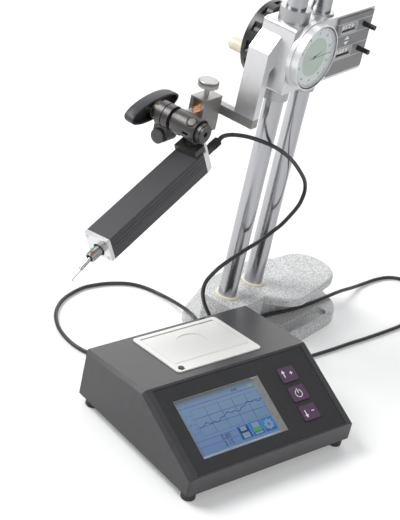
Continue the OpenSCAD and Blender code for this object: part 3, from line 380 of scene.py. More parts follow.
black_plastic = grained("black_plastic", (0.014, 0.014, 0.015), (0.026, 0.026, 0.027),
                        scale=2000, depth=0.00008, roughness=0.42, spread=0.15)
strain_relief = [(0.0029, 0.0142), (0.0029, 0.0152), (0.0024, 0.0154), (0.0024, 0.016), (0.0027, 0.0162),
                 (0.0027, 0.0171), (0.0023, 0.0173), (0.0023, 0.0178), (0.0025, 0.018), (0.0024, 0.0199)]
drive_rings = ([(0.0041, 0.0001), (0.0043, 0.0004), (0.0043, 0.0082), (0.0036, 0.0085)]
               + ribs(outer=0.0045, inner=0.0035, start=0.0092, pitch=0.0025, count=4)
               + [(0.0031, 0.0194), (0.0025, 0.0199)])
console_rings = ([(0.0043, -0.0058), (0.0045, -0.0056), (0.0045, 0.0016)]
                 + ribs(outer=0.0055, inner=0.0047, start=0.0017, pitch=0.0026, count=4)
                 + [(0.0052, 0.0122), (0.0036, 0.0138)] + strain_relief)
quarter_turn = math.radians(90)
drive_plug_place = (drive_frame @ Matrix.Translation((plug_root_x, plug_y, plug_z))
                    @ Matrix.Rotation(quarter_turn, 4, "Y"))
console_plug_place = (console_frame @ Matrix.Translation((socket_x, socket_y, socket_z))
                      @ Matrix.Rotation(-quarter_turn, 4, "X"))
for name, rings, place, node, body in [
        ("drive_connector", drive_rings, drive_plug_place, "drive_plug", "drive"),
        ("console_connector", console_rings, console_plug_place, "console_plug", "base")]:
    connector = turned(name, rings)
    connector.data.transform(place)
    connector.data.materials.append(black_plastic)
    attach(connector, body)
    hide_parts(node)


# Console shell: a moulded cover on a bottom plate, charcoal grey with a fine spark-eroded grain,
# closed by four screws from below and standing on four rubber feet.
def dress(material, *names):
    for name in names:
        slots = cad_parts[name].data.materials
        slots.clear()
        slots.append(material)


shell_grey = grained("shell_grey", (0.036, 0.036, 0.038), (0.05, 0.05, 0.053),
                     scale=2400, depth=0.00006, roughness=0.34, spread=0.08)
dress(shell_grey, "console_cover", "console_base")
foot_rubber = grained("foot_rubber", (0.02, 0.016, 0.02), (0.032, 0.027, 0.032),
                      scale=1500, depth=0.0001, roughness=0.62, spread=0.1)
dress(foot_rubber, "console_feet")
plain_steel = grained("plain_steel", (0.52, 0.52, 0.53), (0.6, 0.6, 0.61),
                      scale=1800, depth=0.00004, roughness=0.3, spread=0.12, metallic=1.0)
dress(plain_steel, "cover_screws", "plate_screws", "drive_motor", "lead_screw", "guide_rods", "rear_socket")

# Front panel: a near-black printed sheet let into the sloping front, with the display's silver bevel
# set in it. The sheet has a finer grain than the shell round it.
panel_black = grained("panel_black", (0.016, 0.016, 0.017), (0.024, 0.024, 0.026),
                      scale=3800, depth=0.00006, roughness=0.5, spread=0.1)
dress(panel_black, "front_panel")
bevel_silver = grained("bevel_silver", (0.36, 0.36, 0.34), (0.45, 0.45, 0.43),
                       scale=900, depth=0.00003, roughness=0.32, spread=0.1, metallic=0.85, stretch=(1, 8, 8))
dress(bevel_silver, "lcd_frame")

# Display: a blue graphic module behind the bevel, lit from behind. It shows a grid with a trace, rows
# of hatching, and three square symbols; the picture is part of the module's own finish. Millimetres
# from the display's middle.
lip_h, ridge_h, slope_run = 18.3, 58, 82
slope_frame = (console_frame @ Matrix.Translation((0, 0, lip_h / 1000))
               @ Matrix.Rotation(math.atan2(ridge_h - lip_h, slope_run), 4, "X"))


def local_mm(wire, place):
    """The X, Y and Z of a surface point in a part's own frame, in millimetres."""
    point = wire.node("ShaderNodeTexCoord", {}, {}, "Object")
    turned_back = wire.node("ShaderNodeMapping", {"vector_type": "TEXTURE"},
                            {"Vector": point, "Location": place.to_translation(),
                             "Rotation": place.to_euler(), "Scale": (0.001, 0.001, 0.001)})
    first = wire.node("ShaderNodeSeparateXYZ", {}, {"Vector": turned_back}, "X")
    return [Wire(wire.tree, first.socket.node.outputs[k]) for k in "XYZ"]


def box_mask(u, v, middle, half):
    return (abs(u - middle[0]) < half[0]) & (abs(v - middle[1]) < half[1])


def lines_at(value, start, pitch, half):
    """Thin lines at every pitch from start."""
    return abs(value.math("FRACT", (value - start) / pitch + 0.5) - 0.5) < half / pitch


def disc_mask(u, v, middle, radius):
    return (u - middle[0]) * (u - middle[0]) + (v - middle[1]) * (v - middle[1]) < radius * radius


display, display_shader, wire = new_finish("display_blue", (0.17, 0.28, 0.46), 0.22)
display_frame = slope_frame @ Matrix.Translation((-0.028, 0.0449, 0))
u, v, _ = local_mm(wire, display_frame)
picture_foot, picture_h = 27, 54
picture = mixed((v + picture_foot) / picture_h, (0.1, 0.175, 0.3), (0.155, 0.23, 0.33))

hatch_slant, hatch_pitch, row_half = 0.6, 1.7, 0.75
hatch = wire.math("FRACT", (u + v * hatch_slant) / hatch_pitch) < 0.5
for level, left, right in [(20.2, -46, 46), (-13.4, -46, 1), (-19.4, -46, 1)]:
    row = box_mask(u, v, ((left + right) / 2, level), ((right - left) / 2, row_half)) & hatch
    picture = mixed(row, picture, (0.1, 0.085, 0.34))

plot_x, plot_y, plot_half_w, plot_half_h = 6, 3.2, 40, 13.2
grid_left, grid_across, grid_down, grid_line = -34, 16, 8.8, 0.26
plot_top = plot_y + plot_half_h
plot = box_mask(u, v, (plot_x, plot_y), (plot_half_w, plot_half_h))
grid = plot & (lines_at(u, grid_left, grid_across, grid_line) | lines_at(v, plot_top, grid_down, grid_line))
picture = mixed(grid, picture, (0.05, 0.1, 0.17))
trace_start, trace_rise, trace_half = 2.4, 0.13, 0.42
trace_v = trace_start + trace_rise * u
for wave_h, wave_pace, wave_shift in [(1.5, 0.23, 1.1), (0.7, 0.71, 0.0)]:
    trace_v = trace_v + wave_h * wire.math("SINE", u * wave_pace + wave_shift)
trace = plot & (abs(v - trace_v) < trace_half)
picture = mixed(trace, picture, (0.035, 0.06, 0.22))
scale_x, scale_line, tick_half_w, tick_pitch, tick_line = -36, 0.14, 1.0, 4.4, 0.3
ticks = box_mask(u, v, (scale_x - tick_half_w, plot_y), (tick_half_w, plot_half_h))
ticks = ticks & lines_at(v, plot_top, tick_pitch, tick_line)
scale = box_mask(u, v, (scale_x, plot_y), (scale_line, plot_half_h))
picture = mixed(ticks | scale, picture, (0.06, 0.12, 0.3))
battery_mark = box_mask(u, v, (41, 22.9), (2.6, 1.1))
picture = mixed(battery_mark, picture, (0.16, 0.34, 0.1))

disk_x, tray_x, gear_x, symbol_y, tile_half = 9.4, 23.9, 38.4, -18.2, 6.7
for tile_x in (disk_x, tray_x, gear_x):
    tile = box_mask(u, v, (tile_x, symbol_y), (tile_half, tile_half))
    picture = mixed(tile, picture, (0.022, 0.09, 0.3))
    shine = box_mask(u, v, (tile_x, symbol_y + 1.4), (6.1, 4.6))
    picture = mixed(shine, picture, (0.03, 0.16, 0.42))
disk = box_mask(u, v, (disk_x, -21.3), (4.1, 2.6)) | box_mask(u, v, (disk_x, -14.6), (3.4, 2.1))
tray = box_mask(u, v, (tray_x, -14.6), (3.8, 2.4)) | box_mask(u, v, (tray_x, -23.0), (4.6, 0.9))
gear_tip, gear_root, gear_bore, gear_teeth, tooth_half = 5.4, 4.3, 1.8, 8, 0.034
gear_turn = wire.math("ARCTAN2", u - gear_x, v - symbol_y) / math.tau
gear_at = (gear_x, symbol_y)
teeth = disc_mask(u, v, gear_at, gear_tip) & lines_at(gear_turn, 0, 1 / gear_teeth, tooth_half)
gear = (disc_mask(u, v, gear_at, gear_root) | teeth) & (disc_mask(u, v, gear_at, gear_bore) < 0.5)
disk_body = box_mask(u, v, (disk_x, symbol_y), (5.6, 5.6))
picture = mixed(disk_body, picture, (0.02, 0.035, 0.13))
picture = mixed(disk | tray | gear, picture, (0.17, 0.23, 0.29))
tray_fill = box_mask(u, v, (tray_x, -19.0), (4.6, 1.9))
picture = mixed(tray_fill, picture, (0.07, 0.26, 0.06))
picture.into(display_shader, "Base Color")
picture.into(display_shader, "Emission Color")
display_shader.inputs["Emission Strength"].default_value = 0.12
dress(display, "lcd_module")


def figures(name, text, size, place, material, body):
    """Plain numbers as a thin mesh on a surface."""
    deselect()
    bpy.ops.object.text_add()
    piece = bpy.context.object
    piece.data.body = text
    piece.data.size = size
    piece.data.extrude = 0.00003
    piece.data.align_x = "CENTER"
    piece.data.align_y = "CENTER"
    piece.data.resolution_u = 3
    bpy.ops.object.convert(target="MESH")
    piece = bpy.context.object
    piece.name = name
    piece.data.transform(place)
    piece.data.materials.append(material)
    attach(piece, body)
    return piece


display_ink = grained("display_ink", (0.012, 0.02, 0.08), (0.02, 0.03, 0.11),
                      scale=2000, depth=0.00001, roughness=0.4, spread=0.05)
display_face_z, value_h, clock_h, scale_h = -0.00298, 0.0064, 0.0032, 0.0028
for name, text, size, x, y in [("display_value_upper", "0.80", value_h, -12, -16.4),
                               ("display_value_lower", "3.15", value_h, -12, -22.9),
                               ("display_clock", "00:00", clock_h, 22, 23),
                               ("display_scale_top", "5", scale_h, -41, 12),
                               ("display_scale_mid", "0", scale_h, -41, 3.2),
                               ("display_scale_low", "5", scale_h, -41, -5.6)]:
    spot = display_frame @ Matrix.Translation((x / 1000, y / 1000, display_face_z))
    figures(name, text, size, spot, display_ink, "base")

# Keys: three moulded purple caps that stand a little out of the panel, each with its own printed white
# mark: an arrow and a sign on the outer two, a ring with a stroke on the middle one. Millimetres.
key_x, key_middle, key_pitch = 57.8, 44.6, 20.7
arrow_x, shaft_y, shaft_half_w, shaft_half_h = -4.6, 0.2, 0.55, 3.0
sign_x, sign_y, sign_half, stroke_half = 4.4, 0.4, 1.9, 0.42
head_foot_y, head_tip_y, head_slope = 1.8, 5.2, 0.62
ring_at, ring_outer, ring_inner = (0, -0.4), 4.2, 3.4
for way, name in [(1, "key_up"), (0, "key_start"), (-1, "key_enter")]:
    key_paint, key_shader, wire = new_finish(name + "_paint", (0.075, 0.036, 0.075), 0.4)
    grain = noise(wire, scale=1800, detail=3)
    cap = mixed(grain, (0.062, 0.03, 0.064), (0.1, 0.05, 0.1))
    key_place = slope_frame @ Matrix.Translation((key_x / 1000, (key_middle + way * key_pitch) / 1000, 0))
    u, v, w = local_mm(wire, key_place)
    if way:
        rise = v * way
        shaft = box_mask(u, rise, (arrow_x, shaft_y), (shaft_half_w, shaft_half_h))
        flanks = abs(u - arrow_x) < (head_tip_y - rise) * head_slope
        mark = shaft | ((rise > head_foot_y) & (rise < head_tip_y) & flanks)
        mark = mark | box_mask(u, v, (sign_x, sign_y), (sign_half, stroke_half))
        if way == 1:
            mark = mark | box_mask(u, v, (sign_x, sign_y), (stroke_half, sign_half))
    else:
        ring = disc_mask(u, v, ring_at, ring_outer) & (disc_mask(u, v, ring_at, ring_inner) < 0.5)
        opening = box_mask(u, v, (0, 3.2), (1.5, 2.4))
        mark = (ring & (opening < 0.5)) | box_mask(u, v, (0, 2.4), (stroke_half, 2.7))
    mixed(mark & (w > 0), cap, (0.72, 0.7, 0.74)).into(key_shader, "Base Color")
    (0.36 + grain * 0.12).into(key_shader, "Roughness")
    dress(key_paint, name)

# Printer: an off-white frame and its door in smooth moulded plastic, over a bay with a paper roll and
# the door's rubber platen. A small black button feeds the paper.
rear_h, top_run, bay_depth, bay_rear = 47.5, 85, -0.2, 73
top_frame = (console_frame @ Matrix.Translation((0, slope_run / 1000, ridge_h / 1000))
             @ Matrix.Rotation(-math.atan2(ridge_h - rear_h, top_run), 4, "X"))
door_white, door_shader, wire = new_finish("door_white", (0.8, 0.79, 0.76), 0.4)
_, v, w = local_mm(wire, top_frame)
grain = noise(wire, scale=2600, detail=3)
# Faces sunk below the frame's top are painted a darker grey as painted shade in the gaps round the door. At
# the bay's rear they are painted near black as the painted shadow in the paper slot.
sunk_painted_shade = w < bay_depth
tone = mixed(grain, (0.78, 0.77, 0.74), (0.83, 0.82, 0.795))
tone = mixed(sunk_painted_shade, tone, (0.62, 0.61, 0.58))
mixed(sunk_painted_shade & (v > bay_rear), tone, (0.05, 0.045, 0.04)).into(door_shader, "Base Color")
(0.38 + grain * 0.1).into(door_shader, "Roughness")
emboss(door_shader, grain, strength=0.2, depth=0.00006)
dress(door_white, "printer_frame", "printer_door")
platen_black = grained("platen_black", (0.02, 0.02, 0.02), (0.035, 0.035, 0.035),
                       scale=1600, depth=0.0001, roughness=0.6, spread=0.1)
dress(platen_black, "platen_roller")
roll_paper = grained("roll_paper", (0.8, 0.8, 0.78), (0.87, 0.87, 0.85),
                     scale=900, depth=0.00006, roughness=0.75, spread=0.1, stretch=(40, 1, 1))
dress(roll_paper, "paper_roll")
dress(black_plastic, "feed_button")

# Boards and battery: green circuit boards under the cover, and a block of cells in blue film on the
# bottom plate, all out of sight in the closed shell.
board_green = grained("board_green", (0.012, 0.09, 0.045), (0.02, 0.13, 0.06),
                      scale=1200, depth=0.00008, roughness=0.35, spread=0.1)
dress(board_green, "main_board", "key_board")
cell_film = grained("cell_film", (0.05, 0.13, 0.32), (0.07, 0.17, 0.4),
                    scale=500, depth=0.00004, roughness=0.25, spread=0.1)
dress(cell_film, "battery_pack")

# Height gauge base: a heavy casting under light grey hammered enamel, with dark speckles in the paint
# and cream plastic rings where the columns stand in it.
fleck_scale, cloud_scale, fleck_low, fleck_high = 780, 60, 0.4, 0.55
enamel, enamel_shader, wire = new_finish("base_enamel", (0.62, 0.62, 0.62), 0.42)
fleck = noise(wire, scale=fleck_scale, detail=2.5)
cloud = noise(wire, scale=cloud_scale, detail=2)
pale = wire.node("ShaderNodeMapRange", {}, {"Value": fleck, "From Min": fleck_low, "From Max": fleck_high})
ground = mixed(cloud, (0.58, 0.58, 0.585), (0.66, 0.66, 0.66))
mixed(pale, (0.34, 0.34, 0.345), ground).into(enamel_shader, "Base Color")
(0.34 + 0.2 * cloud).into(enamel_shader, "Roughness")
emboss(enamel_shader, fleck, strength=0.5, depth=0.00025)
dress(enamel, "stand_base")
ring_cream = grained("ring_cream", (0.7, 0.66, 0.54), (0.78, 0.74, 0.62),
                     scale=1200, depth=0.00005, roughness=0.45, spread=0.1)
dress(ring_cream, "column_rings")

# Columns: two ground and hard-chromed steel rods that stand in the base's bores. The grinding leaves
# fine streaks along them.
chrome, chrome_shader, wire = new_finish("column_chrome", (0.5, 0.5, 0.52), 0.2, 1.0)
streak = noise(wire, scale=700, detail=2, stretch=(1, 1, 0.02))
mixed(streak, (0.38, 0.38, 0.4), (0.48, 0.48, 0.5)).into(chrome_shader, "Base Color")
(0.16 + 0.1 * streak).into(chrome_shader, "Roughness")
dress(chrome, "columns")

# Carriage: a satin-chromed block and measuring arm, with darker turned bushes round the columns. The
# bar and the clamp block on it are bare stainless steel. A bridge in the carriage's finish joins the
# column tops.
satin = grained("satin_chrome", (0.62, 0.62, 0.63), (0.7, 0.7, 0.71),
                scale=1500, depth=0.00005, roughness=0.36, spread=0.12, metallic=0.85)
dress(satin, "carriage_body", "jaw_arm", "top_bridge")
bush_steel = grained("bush_steel", (0.38, 0.38, 0.385), (0.46, 0.46, 0.465),
                     scale=1500, depth=0.00005, roughness=0.36, spread=0.12, metallic=0.9)
dress(bush_steel, "carriage_bushes")
stainless = grained("stainless", (0.3, 0.29, 0.28), (0.39, 0.38, 0.365),
                    scale=900, depth=0.00006, roughness=0.46, spread=0.14, metallic=0.9, stretch=(1, 1, 6))
dress(stainless, "clamp_block", "jaw_bar")

# Dial: a white ring with fine strokes and plain numbers, a pale green disc in the middle, black hands
# on the pointer's shaft, a satin bezel that turns with the face, and a clear cover pressed into it.
dial_place = Matrix.Translation((-0.013, -0.0254, 0.3213)) @ Matrix.Rotation(quarter_turn, 4, "X")
green_r, green_fade_r, fine_r, bold_r, stroke_end_r = 19, 20, 27.4, 26.6, 29.2
fine_half, bold_half, fine_pitch, bold_pitch = 0.0009, 0.0013, 0.01, 0.05
dial_paint, dial_shader, wire = new_finish("dial_paint", (0.85, 0.86, 0.86), 0.45)
u, v, _ = local_mm(wire, dial_place)
reach = wire.math("SQRT", u * u + v * v)
angle = wire.math("ARCTAN2", u, v) / math.tau
grain = noise(wire, scale=2400, detail=2)
tone = mixed(grain, (0.88, 0.89, 0.9), (0.93, 0.93, 0.94))
fine = lines_at(angle, 0, fine_pitch, fine_half) & (reach > fine_r) & (reach < stroke_end_r)
bold = lines_at(angle, 0, bold_pitch, bold_half) & (reach > bold_r) & (reach < stroke_end_r)
tone = mixed(fine | bold, tone, (0.1, 0.1, 0.105))
green = mixed(reach / green_fade_r, (0.66, 0.74, 0.66), (0.6, 0.72, 0.62))
mixed(reach < green_r, tone, green).into(dial_shader, "Base Color")
dress(dial_paint, "dial_face")

dial_ink = grained("dial_ink", (0.12, 0.12, 0.125), (0.15, 0.15, 0.155),
                   scale=2000, depth=0.00001, roughness=0.5, spread=0.05)
number_count, number_step, number_r, number_h, number_lift = 10, 10, 0.0236, 0.0034, 0.00006
for k in range(number_count):
    way = math.tau * k / number_count
    spot = Matrix.Translation((number_r * math.sin(way), number_r * math.cos(way), number_lift))
    figures("dial_number_%d" % k, str(number_step * k), number_h, dial_place @ spot, dial_ink, "bezel")

pointer_black = grained("pointer_black", (0.02, 0.02, 0.022), (0.04, 0.04, 0.042),
                        scale=1500, depth=0.00003, roughness=0.4, spread=0.1)
hand_w, hand_t, tip_share, facing = 0.0009, 0.0003, 0.3, 0.9
for name, tip, tail, degrees, lift in [("long_hand", 0.0245, 0.0105, 88, 0.0016),
                                       ("short_hand", 0.009, 0.0035, 62, 0.001)]:
    deselect()
    bpy.ops.mesh.primitive_cube_add(size=1)
    hand = bpy.context.object
    hand.name = name
    hand.data.transform(Matrix.Translation((0, (tip - tail) / 2, 0))
                        @ Matrix.Diagonal((hand_w, tip + tail, hand_t, 1)))
    for face in hand.data.polygons:
        face.select = face.normal.y > facing
    bpy.ops.object.mode_set(mode="EDIT")
    bpy.ops.mesh.select_mode(type="FACE")
    bpy.ops.transform.resize(value=(tip_share, 1, 1), center_override=(0, tip, 0))
    bpy.ops.object.mode_set(mode="OBJECT")
    hand.data.transform(dial_place @ Matrix.Translation((0, 0, lift))
                        @ Matrix.Rotation(-math.radians(degrees), 4, "Z"))
    hand.data.materials.append(pointer_black)
    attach(hand, "pointer")
    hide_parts("dial_pointer")
bezel_satin = grained("bezel_satin", (0.72, 0.72, 0.73), (0.8, 0.8, 0.81),
                      scale=1500, depth=0.00004, roughness=0.34, spread=0.1, metallic=0.5)
dress(bezel_satin, "dial_bezel")
clear, clear_shader, wire = new_finish("dial_clear", (0.95, 0.97, 0.97), 0.04)
clear_shader.inputs["Transmission Weight"].default_value = 1.0
clear_shader.inputs["IOR"].default_value = 1.2
(0.03 + 0.03 * noise(wire, scale=300, detail=1)).into(clear_shader, "Roughness")
dress(clear, "dial_glass")

# Counters: a mid-grey plate with printed white rules, fixed on the carriage's front. Number wheels show
# in its two windows, with a black plastic reset pin beside each. Levels are in millimetres.
window_x, window_half, lower_level, upper_level = 52, (14, 5), 309.8, 335.3
rule_off, rule_half, arrow_half_w, arrow_half_h, arrow_slope = 6.2, 0.22, 2.4, 1.9, 1.2
plate_grey, plate_shader, wire = new_finish("counter_grey", (0.2, 0.2, 0.21), 0.45)
u, _, w = local_mm(wire, Matrix.Identity(4))
grain = noise(wire, scale=2200, detail=2)
tone = mixed(grain, (0.185, 0.185, 0.19), (0.225, 0.225, 0.23))
marks = abs(w - (lower_level + rule_off)) < rule_half
for level in (lower_level - rule_off, upper_level - rule_off, upper_level + rule_off):
    marks = marks | (abs(w - level) < rule_half)
for level, up in ((319.6, -1), (325.4, 1)):
    flanks = abs(u - window_x) < arrow_half_w - up * (w - level) * arrow_slope
    marks = marks | (flanks & (abs(w - level) < arrow_half_h))
tone = mixed(marks, tone, (0.75, 0.75, 0.76))
windows = (box_mask(u, w, (window_x, lower_level), window_half)
           | box_mask(u, w, (window_x, upper_level), window_half))
mixed(windows, tone, (0.55, 0.55, 0.55)).into(plate_shader, "Base Color")
(0.4 + 0.12 * grain).into(plate_shader, "Roughness")
dress(plate_grey, "counter_panel")
drum_white = grained("drum_white", (0.74, 0.74, 0.72), (0.8, 0.8, 0.78),
                     scale=1500, depth=0.00004, roughness=0.5, spread=0.1)
dress(drum_white, "counter_drums")
dress(black_plastic, "reset_pin_upper", "reset_pin_lower")
wheel_x, wheel_pitch, wheel_face_y, wheel_number_h = 0.0415, 0.0053, -0.01684, 0.0056
for row, level, text in (("upper", upper_level, "02847"), ("lower", lower_level, "97153")):
    for k, figure in enumerate(text):
        spot = (Matrix.Translation((wheel_x + wheel_pitch * k, wheel_face_y, level / 1000))
                @ Matrix.Rotation(quarter_turn, 4, "X"))
        figures("wheel_number_%s_%d" % (row, k), figure, wheel_number_h, spot, dial_ink, "carriage")

# Handwheel: a black moulded wheel with finger lobes, fixed on the pinion's shaft, and an ivory plastic
# handle that turns on a pin near the wheel's rim.
wheel_black = grained("wheel_black", (0.015, 0.015, 0.015), (0.03, 0.03, 0.03),
                      scale=1400, depth=0.0001, roughness=0.36, spread=0.15)
dress(wheel_black, "handwheel")
handle_ivory = grained("handle_ivory", (0.7, 0.62, 0.47), (0.78, 0.71, 0.57),
                       scale=700, depth=0.00005, roughness=0.34, spread=0.1, stretch=(1, 6, 1))
dress(handle_ivory, "crank_handle")

# Drive unit: a black anodised profile closed by satin plates at both ends, with the slide and its
# screw inside, and the steel stylus pickup in front, which has a red dot on it.
land_levels, land_half, flank_y = (28.45, 32.55, 36.65), 0.5, 14.2
anodised, anodised_shader, wire = new_finish("black_anodised", (0.036, 0.035, 0.038), 0.42, 0.35)
_, v, w = local_mm(wire, drive_frame)
grain = noise(wire, scale=3000, detail=3)
# The lands along the groove edges on the housing's flanks are painted a lighter grey: a painted highlight.
land_highlights = abs(w + land_levels[0]) < land_half
for level in land_levels[1:]:
    land_highlights = land_highlights | (abs(w + level) < land_half)
tone = mixed(grain, (0.05, 0.048, 0.053), (0.072, 0.069, 0.075))
mixed(land_highlights & (abs(v) > flank_y), tone, (0.13, 0.13, 0.135)).into(anodised_shader, "Base Color")
(0.37 + 0.1 * grain).into(anodised_shader, "Roughness")
emboss(anodised_shader, grain, strength=0.2, depth=0.00004)
dress(anodised, "drive_housing")
plate_silver = grained("plate_silver", (0.66, 0.66, 0.67), (0.74, 0.74, 0.75),
                       scale=1600, depth=0.00005, roughness=0.32, spread=0.12, metallic=0.9)
dress(plate_silver, "drive_front_plate", "drive_rear_plate", "slide_block")
dot_at, dot_r, dot_foot_z = (-146.8, -1.5), math.sqrt(2.2), -36.5
pickup_steel, pickup_shader, wire = new_finish("pickup_steel", (0.4, 0.39, 0.38), 0.3, 1.0)
u, v, w = local_mm(wire, drive_frame)
brush = noise(wire, scale=1600, detail=2)
dot = disc_mask(u, v, dot_at, dot_r) & (w > dot_foot_z)
tone = mixed(brush, (0.36, 0.35, 0.34), (0.46, 0.45, 0.44))
mixed(dot, tone, (0.35, 0.03, 0.02)).into(pickup_shader, "Base Color")
(1 - dot).into(pickup_shader, "Metallic")
(0.24 + 0.14 * brush).into(pickup_shader, "Roughness")
dress(pickup_steel, "pickup_sleeve", "stylus_arm")

# Swivel: black-browned steel: a barrel that holds the ball, its cap, the split collar with its screw
# lug, and the saddle on the drive unit. The barrel's bare steel shank goes into the clamp.
brown_dark, brown_light = (0.06, 0.057, 0.056), (0.09, 0.085, 0.083)
browned = grained("browned_steel", brown_dark, brown_light,
                  scale=2200, depth=0.00005, roughness=0.36, spread=0.14, metallic=0.6)
dress(browned, "barrel_cap", "swivel_collar", "swivel_saddle")
dress(plain_steel, "swivel_ball")
shank_start = 9.8
barrel_finish, barrel_shader, wire = new_finish("barrel_browned", brown_dark, 0.36, 0.6)
u, _, _ = local_mm(wire, Matrix.Translation(ball_at))
grain = noise(wire, scale=2200, detail=3)
shank = u > shank_start
bare = mixed(grain, (0.36, 0.355, 0.345), (0.45, 0.44, 0.43))
mixed(shank, mixed(grain, brown_dark, brown_light), bare).into(barrel_shader, "Base Color")
(0.6 + 0.3 * shank).into(barrel_shader, "Metallic")
(0.3 + 0.14 * grain).into(barrel_shader, "Roughness")
emboss(barrel_shader, grain, strength=0.3, depth=0.00005)
dress(barrel_finish, "swivel_barrel")

# Barrel sleeve: a browned steel tube pressed over the barrel, with a window below for the ball's stem
# and a narrow slot at the side. A steel button sits in a seat on top of it, and the seat and the
# tube's inside are painted near black as shade.
sleeve_r, sleeve_wall, sleeve_sides, sleeve_edge = 0.012, 0.0024, 72, 0.0003
sleeve_end, slot_start, window_start, slot_end, window_end, sleeve_mouth = (
    -0.0135, -0.0079, -0.0056, -0.0017, 0.0056, 0.014)
sleeve_levels = [sleeve_end, slot_start, window_start, slot_end, window_end, sleeve_mouth]
slot_way, slot_half, window_ways = math.radians(-102), 0.1, (math.radians(-50), math.radians(72))
button_way, button_y = math.radians(-37.7), -0.0067
deselect()
bpy.ops.mesh.primitive_circle_add(vertices=sleeve_sides, radius=sleeve_r, fill_type="NOTHING",
                                  location=(0, 0, sleeve_end))
sleeve = bpy.context.object
sleeve.name = "barrel_sleeve"
bpy.ops.object.transform_apply(location=True, rotation=False, scale=False)
bpy.ops.object.mode_set(mode="EDIT")
bpy.ops.mesh.select_mode(type="EDGE")
bpy.ops.mesh.select_all(action="SELECT")
for below, above in zip(sleeve_levels, sleeve_levels[1:]):
    bpy.ops.mesh.extrude_region_move(TRANSFORM_OT_translate={"value": (0, 0, above - below)})
bpy.ops.mesh.select_all(action="SELECT")
bpy.ops.mesh.normals_make_consistent(inside=False)
bpy.ops.mesh.select_mode(type="FACE")
bpy.ops.object.mode_set(mode="OBJECT")
sleeve.data.transform(Matrix.Rotation(-quarter_turn, 4, "X"))
for face in sleeve.data.polygons:
    x, y, z = face.center
    way_below, way_above = math.atan2(x, -z), math.atan2(x, z)
    in_window = window_start < y < window_end and window_ways[0] < way_below < window_ways[1]
    in_slot = slot_start < y < slot_end and abs(way_above - slot_way) < slot_half
    face.select = in_window or in_slot
bpy.ops.object.mode_set(mode="EDIT")
bpy.ops.mesh.delete(type="FACE")
bpy.ops.object.mode_set(mode="OBJECT")
wall = sleeve.modifiers.new("wall", "SOLIDIFY")
wall.thickness = sleeve_wall
wall.offset = -1
bpy.ops.object.modifier_apply(modifier=wall.name)
edge = sleeve.modifiers.new("edge", "BEVEL")
edge.width = sleeve_edge
edge.segments = 2
edge.limit_method = "ANGLE"
edge.angle_limit = math.radians(50)
bpy.ops.object.modifier_apply(modifier=edge.name)
bpy.ops.object.shade_smooth_by_angle(angle=math.radians(30))
sleeve.data.transform(Matrix.Translation(ball_at))
seat_r, outside_r = 5.4, 11.4
sleeve_finish, sleeve_shader, wire = new_finish("sleeve_browned", brown_dark, 0.36, 0.6)
u, v, w = local_mm(wire, Matrix.Translation(ball_at))
grain = noise(wire, scale=2200, detail=3)
around = 1000 * sleeve_r * wire.math("ARCTAN2", u, w)
# The button's seat and all faces inside the tube's outer skin, its bore and the cut faces of the window and
# slot, are painted near black, matt and not metallic: painted shade.
seat_shade = disc_mask(around, v, (1000 * sleeve_r * button_way, 1000 * button_y), seat_r)
painted_shade = seat_shade | disc_mask(u, w, (0, 0), outside_r)
mixed(painted_shade, mixed(grain, brown_dark, brown_light), (0.006, 0.006, 0.006)).into(sleeve_shader, "Base Color")
(0.6 - 0.6 * painted_shade).into(sleeve_shader, "Metallic")
(0.31 + 0.14 * grain + 0.4 * painted_shade).into(sleeve_shader, "Roughness")
emboss(sleeve_shader, grain, strength=0.3, depth=0.00005)
sleeve.data.materials.append(sleeve_finish)
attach(sleeve, "swivel")
button_sunk = 0.0003
button = turned("barrel_button", [(0.0042, -0.0006), (0.0042, 0.0002), (0.0039, 0.0005), (0.0036, 0.0006)])
button.data.transform(Matrix.Translation(ball_at + Vector((0, button_y, 0)))
                      @ Matrix.Rotation(button_way, 4, "Y")
                      @ Matrix.Translation((0, 0, sleeve_r - button_sunk)))
button_steel = grained("button_steel", (0.13, 0.122, 0.112), (0.18, 0.17, 0.155),
                       scale=1600, depth=0.00005, roughness=0.55, spread=0.1, metallic=0.5)
button.data.materials.append(button_steel)
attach(button, "swivel")

# Collar screw: a turned and browned steel screw with a plain round head. It draws the split collar's
# lug together.
collar_low, collar_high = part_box("swivel_collar")
lug_x, lug_from_rear, lug_from_foot = ball_at.x - 0.0051, 0.012, 0.0075
collar_screw = turned("collar_screw", [(0.0072, 0.0), (0.0074, 0.0002), (0.0074, 0.0022),
                                       (0.0071, 0.0027), (0.0062, 0.0029)])
lug_at = (lug_x, collar_high[1] - lug_from_rear, collar_low[2] + lug_from_foot)
collar_screw.data.transform(Matrix.Translation(lug_at) @ Matrix.Rotation(-quarter_turn, 4, "Y"))
collar_screw.data.materials.append(browned)
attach(collar_screw, "swivel")

